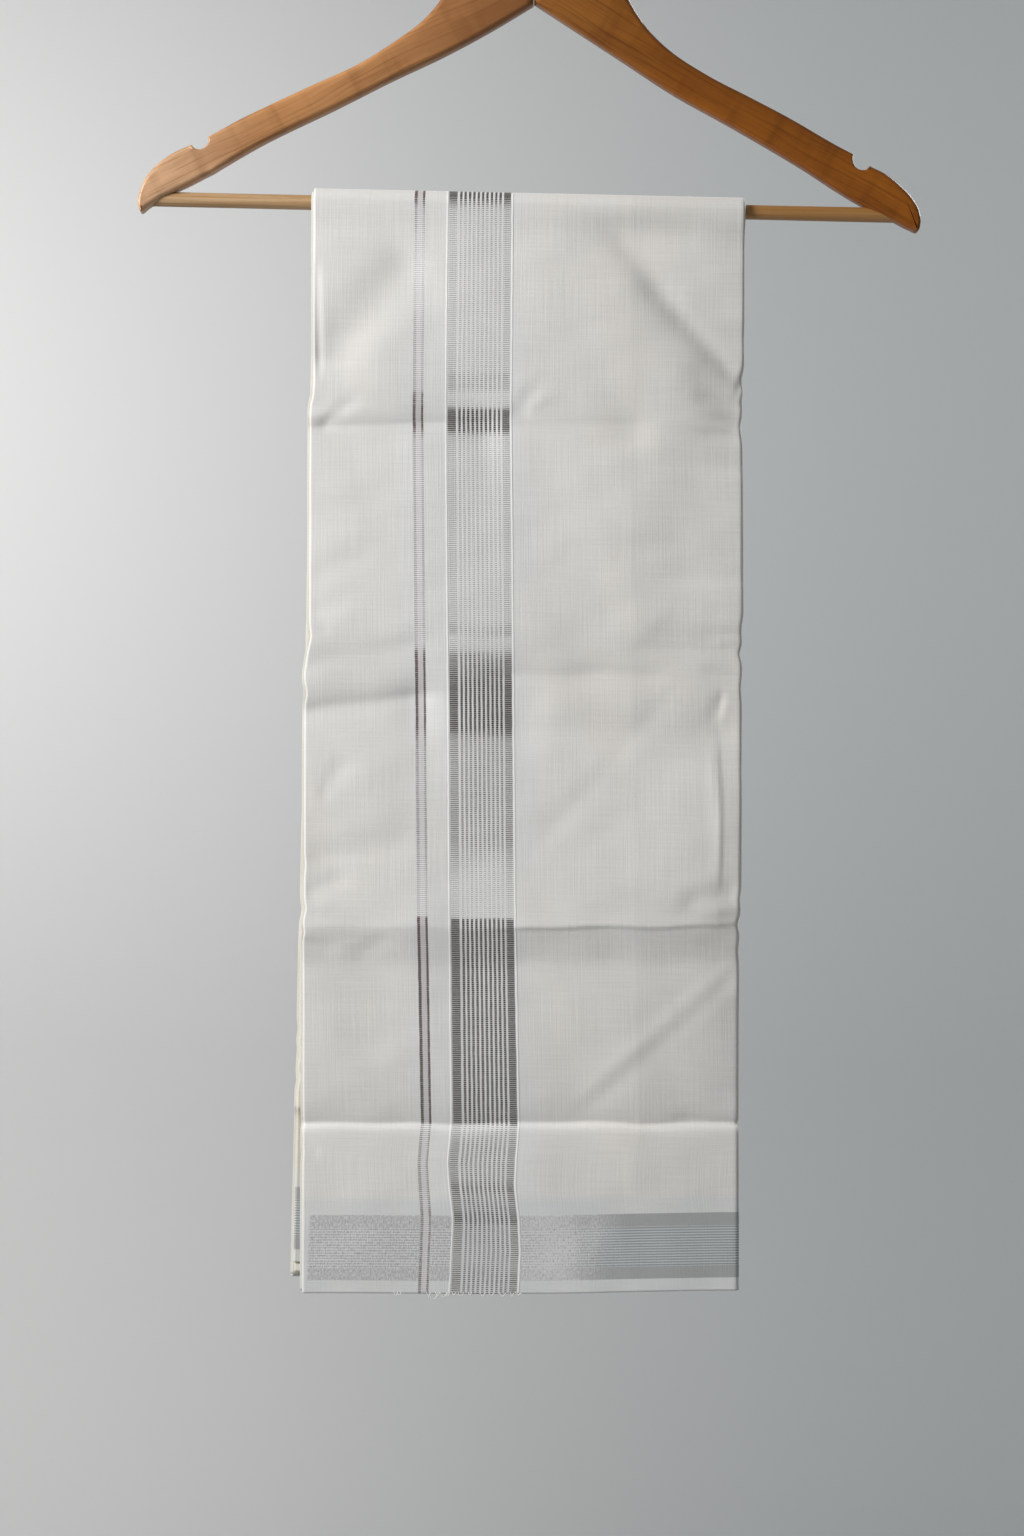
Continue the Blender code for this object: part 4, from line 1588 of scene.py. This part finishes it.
def through(rows: Array, count: int) -> Array:
    """Return a smooth curve through points.

    Between two points it is a cubic Hermite curve, with the slope at each point taken from
    its neighbours over the distance along the chords.

    Args:
        rows: The points, in order.
        count: The steps between two points.

    Returns:
        Points on the curve, the first and the last one included.
    """
    chord = np.linalg.norm(np.diff(rows, axis=0), axis=1)
    slope = np.gradient(rows, np.concatenate([[0.0], np.cumsum(chord)]), axis=0)
    t = (np.arange(count) / count)[None, :, None]
    long = chord[:, None, None]
    start, end = rows[:-1, None], rows[1:, None]
    leave, reach = slope[:-1, None] * long, slope[1:, None] * long
    curve = (
        (2 * t**3 - 3 * t**2 + 1) * start + (t**3 - 2 * t**2 + t) * leave
        + (3 * t**2 - 2 * t**3) * end + (t**3 - t**2) * reach
    )
    return np.concatenate([curve.reshape(-1, 2), rows[-1:]])


@dataclass
class Hanger:
    """The wooden arms, the bar between them and the wire hook.

    The strap notch is given by its distance from the middle, the height above which it lies
    and its reach, and the tip by its distance, its reach and the share of the arris that it
    loses.
    """

    thick: float = 12.0
    arris: float = 3.0
    notch_arris: float = 0.8
    notch: tuple[float, float, float] = (187.0, 15.0, 9.0)
    tip: tuple[float, float, float] = (222.0, 3.0, 0.35)
    steps: int = 6
    bar_half: float = 215.0
    bar_rows: int = 87
    bar_uneven: float = 0.05
    bar_waves: tuple[float, float] = (17.0, 41.0)
    wire: float = 1.9
    crook: float = 24.0
    crook_end: float = 205.0
    neck: float = 12.0
    shank: float = 12.0
    shank_in_wood: float = 26.0

    def outline(self, side: str) -> Array:
        """Join the smooth curves of one arm's top, strap notch, tip and underside.

        Args:
            side: "left" or "right".

        Returns:
            Points outwards and upwards, from the top at the middle round to the underside.
        """
        top, notch, nose = (
            np.array([(row.x, getattr(row, side)) for row in rows])
            for rows in (ARM_TOP, ARM_NOTCH, ARM_NOSE)
        )
        return np.concatenate([through(top, 8), through(notch, 3), through(nose, 8)])

    def arm(self, side: str) -> bpy.types.Object:
        """Make one arm as rings round its outline.

        Ring by ring the outline moves in by the arris's radius times one less the cosine of
        an angle, and outwards in depth by its sine. The radius is small at the strap notch.

        Args:
            side: "left" or "right".

        Returns:
            The piece.
        """
        outline = self.outline(side)
        run = np.gradient(outline, axis=0)
        run /= np.linalg.norm(run, axis=1, keepdims=True)
        inward = np.stack([run[:, 1], -run[:, 0]], 1)
        inward[0], inward[-1] = (0.0, -1.0), (0.0, 1.0)
        at, above, reach = self.notch
        near = bell((outline[:, 0] - at) / reach) * (outline[:, 1] > above)
        at, reach, share = self.tip
        tip = share * bell((outline[:, 0] - at) / reach)
        radius = self.arris - (self.arris - self.notch_arris) * near - self.arris * tip
        turn = np.radians(np.linspace(0.0, 90.0, self.steps))
        turn = np.concatenate([-turn[::-1], turn])
        level = np.concatenate([np.full(self.steps, -1.0), np.full(self.steps, 1.0)])
        inset = radius[None, :] * (1 - np.cos(turn))[:, None]
        flat = outline[None] + inset[..., None] * inward[None]
        flank = level[:, None] * (self.thick / 2 - radius)[None, :]
        out = flank + np.sin(turn)[:, None] * radius[None, :]
        mirror = -1.0 if side == "left" else 1.0
        points = np.stack([mirror * flat[..., 0], out, flat[..., 1]], 2)
        piece = Piece(f"hanger_{side}_arm")
        piece.add(points, capped=True, flip=side == "left")
        return piece.build()

    def bar(self) -> bpy.types.Object:
        """Make the round bar.

        Its radius changes very slightly along it, by the product of two sines.

        Returns:
            The piece.
        """
        x = np.linspace(-self.bar_half, self.bar_half, self.bar_rows)
        path = np.stack([x, np.zeros_like(x), np.zeros_like(x)], 1)
        short, long = self.bar_waves
        waves = np.sin(x / short) * np.sin(x / long + 1.0)
        radius = BAR_RADIUS - self.bar_uneven + self.bar_uneven * waves
        piece = Piece("hanger_round_bar")
        piece.add(tube(path, radius, 40), capped=True)
        return piece.build()

    def hook(self) -> bpy.types.Object:
        """Make the wire: up the shank, out through the neck and round the crook to its tip.

        The neck and the crook are arcs of circles that touch, and the tip is half a ball.

        Returns:
            The piece.
        """
        crook_z = self.wire - self.crook
        bend = math.asin(self.neck / (self.crook + self.neck))
        neck_z = crook_z - (self.crook + self.neck) * math.cos(bend)
        low = neck_z - self.shank - self.shank_in_wood
        shank = np.stack([np.zeros(12), np.linspace(low, neck_z - 1.0, 12)], 1)
        first = np.linspace(0.0, math.pi / 2 - bend, 16)
        second = np.radians(np.linspace(math.degrees(bend) - 90, self.crook_end, 96))[1:]
        neck = np.stack([self.neck * (1 - np.cos(first)), neck_z + self.neck * np.sin(first)], 1)
        crook = np.stack([self.crook * np.cos(second), crook_z + self.crook * np.sin(second)], 1)
        flat = np.concatenate([shank, neck, crook])
        path = np.stack([flat[:, 0], np.zeros(len(flat)), flat[:, 1] - BAR_Z], 1)
        left = np.linalg.norm(path - path[-1], axis=1)
        over = np.clip(1 - left / self.wire, 0, 1)
        radius = self.wire * np.sqrt(np.clip(1 - np.square(over), 0.02, 1))
        piece = Piece("hanger_wire_hook")
        piece.add(tube(path, radius, 24), capped=True)
        return piece.build()

    def build(self) -> list[bpy.types.Object]:
        """Make and dress the four pieces of the hanger.

        Returns:
            The pieces.
        """
        made = []
        for piece, finish, slot, node in (
            (self.arm("left"), LEFT_WOOD_PAINTED_LIT, "varnished_wood", "hanger_arm_left"),
            (self.arm("right"), RIGHT_WOOD_PAINTED_SHADE, "varnished_wood", "hanger_arm_right"),
            (self.bar(), PaleWood(), "pale_wood", "hanger_bar"),
            (self.hook(), SteelWire(), "steel", "hanger_hook"),
        ):
            piece.data.materials.append(finish.material(f"{piece.name}_finish"))
            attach(piece, BODY)
            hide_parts(node)
            made.append(piece)
        return made


class Lamp(NamedTuple):
    """A square light: its name, place, aim, side and power, in metres and watts."""

    name: str
    at: tuple[float, float, float]
    aim: tuple[float, float, float]
    size: float
    power: float
    colour: tuple[float, float, float]


@dataclass
class Studio:
    """A pale round cove with a level floor, painted lighter to the left and darker to the right, a soft
    key light and the camera.
    """

    floor_z: float = -2600.0
    flat_radius: float = 6000.0
    wall_radius: float = 7200.0
    wall_top: float = 2600.0
    tilt_deg: float = 1.27
    aim: tuple[float, float] = (-2.8, -319.8)
    distance: float = 1700.0
    cloth_y: float = -8.0
    lens: float = 70.2
    sky: float = 0.25
    sky_colour: Colour = (0.88, 0.865, 0.84)
    # Painted light on the cove: its colour is lighter to the left and darker to the right.
    cove_turn: float = 1.6
    cove_painted_light_left: Colour = (0.70, 0.70, 0.695)
    cove_painted_shade_right: Colour = (0.535, 0.56, 0.565)
    lamps: tuple[Lamp, ...] = (
        Lamp("key", (-1.83, -1.0, 0.36), (0.0, 0.0, -0.5), 0.8, 61.0, (1.0, 0.995, 0.985)),
        Lamp("backdrop_left", (-2.2, 4.2, 0.6), (-1.8, 7.2, 0.3), 1.6, 77.0, (1.0, 1.0, 1.0)),
        Lamp("backdrop_right", (2.6, 3.0, 1.4), (2.2, 7.2, 0.5), 1.6, 33.0, (0.97, 0.99, 1.0)),
        Lamp("back_soft", (1.9, 1.8, 1.0), (0.0, 0.0, -0.5), 1.2, 70.0, (0.98, 0.99, 1.0)),
    )

    def cove(self) -> bpy.types.Object:
        """Make floor and wall as one turned surface, a quarter circle between them.

        Returns:
            The piece.
        """
        bend = self.wall_radius - self.flat_radius
        turn = np.linspace(0.0, math.pi / 2, 9)
        quarter = self.flat_radius + bend * np.sin(turn)
        radius = np.concatenate([[0.1, self.flat_radius / 2], quarter, [self.wall_radius]])
        high = np.concatenate([[0.0, 0.0], bend * (1 - np.cos(turn)), [self.wall_top - self.floor_z]])
        angle = np.linspace(0.0, 2 * math.pi, 96, endpoint=False)
        points = np.stack([
            radius[:, None] * np.cos(angle), radius[:, None] * np.sin(angle),
            np.broadcast_to(high[:, None] + self.floor_z - BAR_Z, (len(radius), len(angle))),
        ], 2)
        piece = Piece("studio_cove")
        piece.add(points, flip=True)
        made = piece.build()
        g = Graph("pale_cove")
        # Painted light: the cove is painted lighter to the left and darker to the right.
        side = g.smooth(g.part(g.place(), 0), -self.cove_turn, self.cove_turn)
        colour = g.mix(side, self.cove_painted_light_left, self.cove_painted_shade_right)
        made.data.materials.append(g.finish({"Base Color": colour, "Roughness": 0.9}))
        return made

    def camera(self) -> None:
        """Put the camera level in front of the cloth, rolled as the photograph is."""
        data = bpy.data.cameras.new("camera")
        data.lens = self.lens
        data.sensor_width = 36.0
        data.clip_end = 100.0
        made = bpy.data.objects.new("camera", data)
        x, z = self.aim
        made.location = (x * MM, (self.cloth_y - self.distance) * MM, (z + BAR_Z) * MM)
        made.rotation_euler = (math.pi / 2, -math.radians(self.tilt_deg), 0.0)
        bpy.context.scene.collection.objects.link(made)
        bpy.context.scene.camera = made

    def light(self, lamp: Lamp) -> None:
        """Put a soft square light in its place, unseen by the camera.

        Args:
            lamp: Its name, place, aim, side and power.
        """
        data = bpy.data.lights.new(lamp.name, "AREA")
        data.size = lamp.size
        data.energy = lamp.power
        data.color = lamp.colour
        made = bpy.data.objects.new(lamp.name, data)
        made.location = lamp.at
        run = np.array(lamp.aim) - np.array(lamp.at)
        flat = math.hypot(run[0], run[1])
        turn = math.atan2(run[1], run[0]) - math.pi / 2
        made.rotation_euler = (math.atan2(flat, -run[2]), 0.0, turn)
        made.visible_camera = False
        bpy.context.scene.collection.objects.link(made)

    def build(self) -> None:
        """Set up the cove, the lights, the world and the camera."""
        self.cove()
        self.camera()
        for lamp in self.lamps:
            self.light(lamp)
        world = bpy.data.worlds.new("pale_sky")
        world.use_nodes = True
        inputs = world.node_tree.nodes["Background"].inputs
        inputs[0].default_value = (*self.sky_colour, 1.0)
        inputs[1].default_value = self.sky
        bpy.context.scene.world = world
        bpy.context.scene.view_settings.view_transform = "Standard"


def main() -> None:
    """Build and dress the object, and set up the studio."""
    logging.basicConfig(level=logging.INFO, format="%(message)s")
    Studio().build()
    hanger = Hanger().build()
    outer = OuterLength().build()
    hidden = HiddenLayers().build()
    threads = LooseThreads().build()
    for piece in (*hanger, outer, hidden, threads):
        mesh = piece.data
        log.info("%s: %d points, %d faces", piece.name, len(mesh.vertices), len(mesh.polygons))


if __name__ == "__main__":
    main()
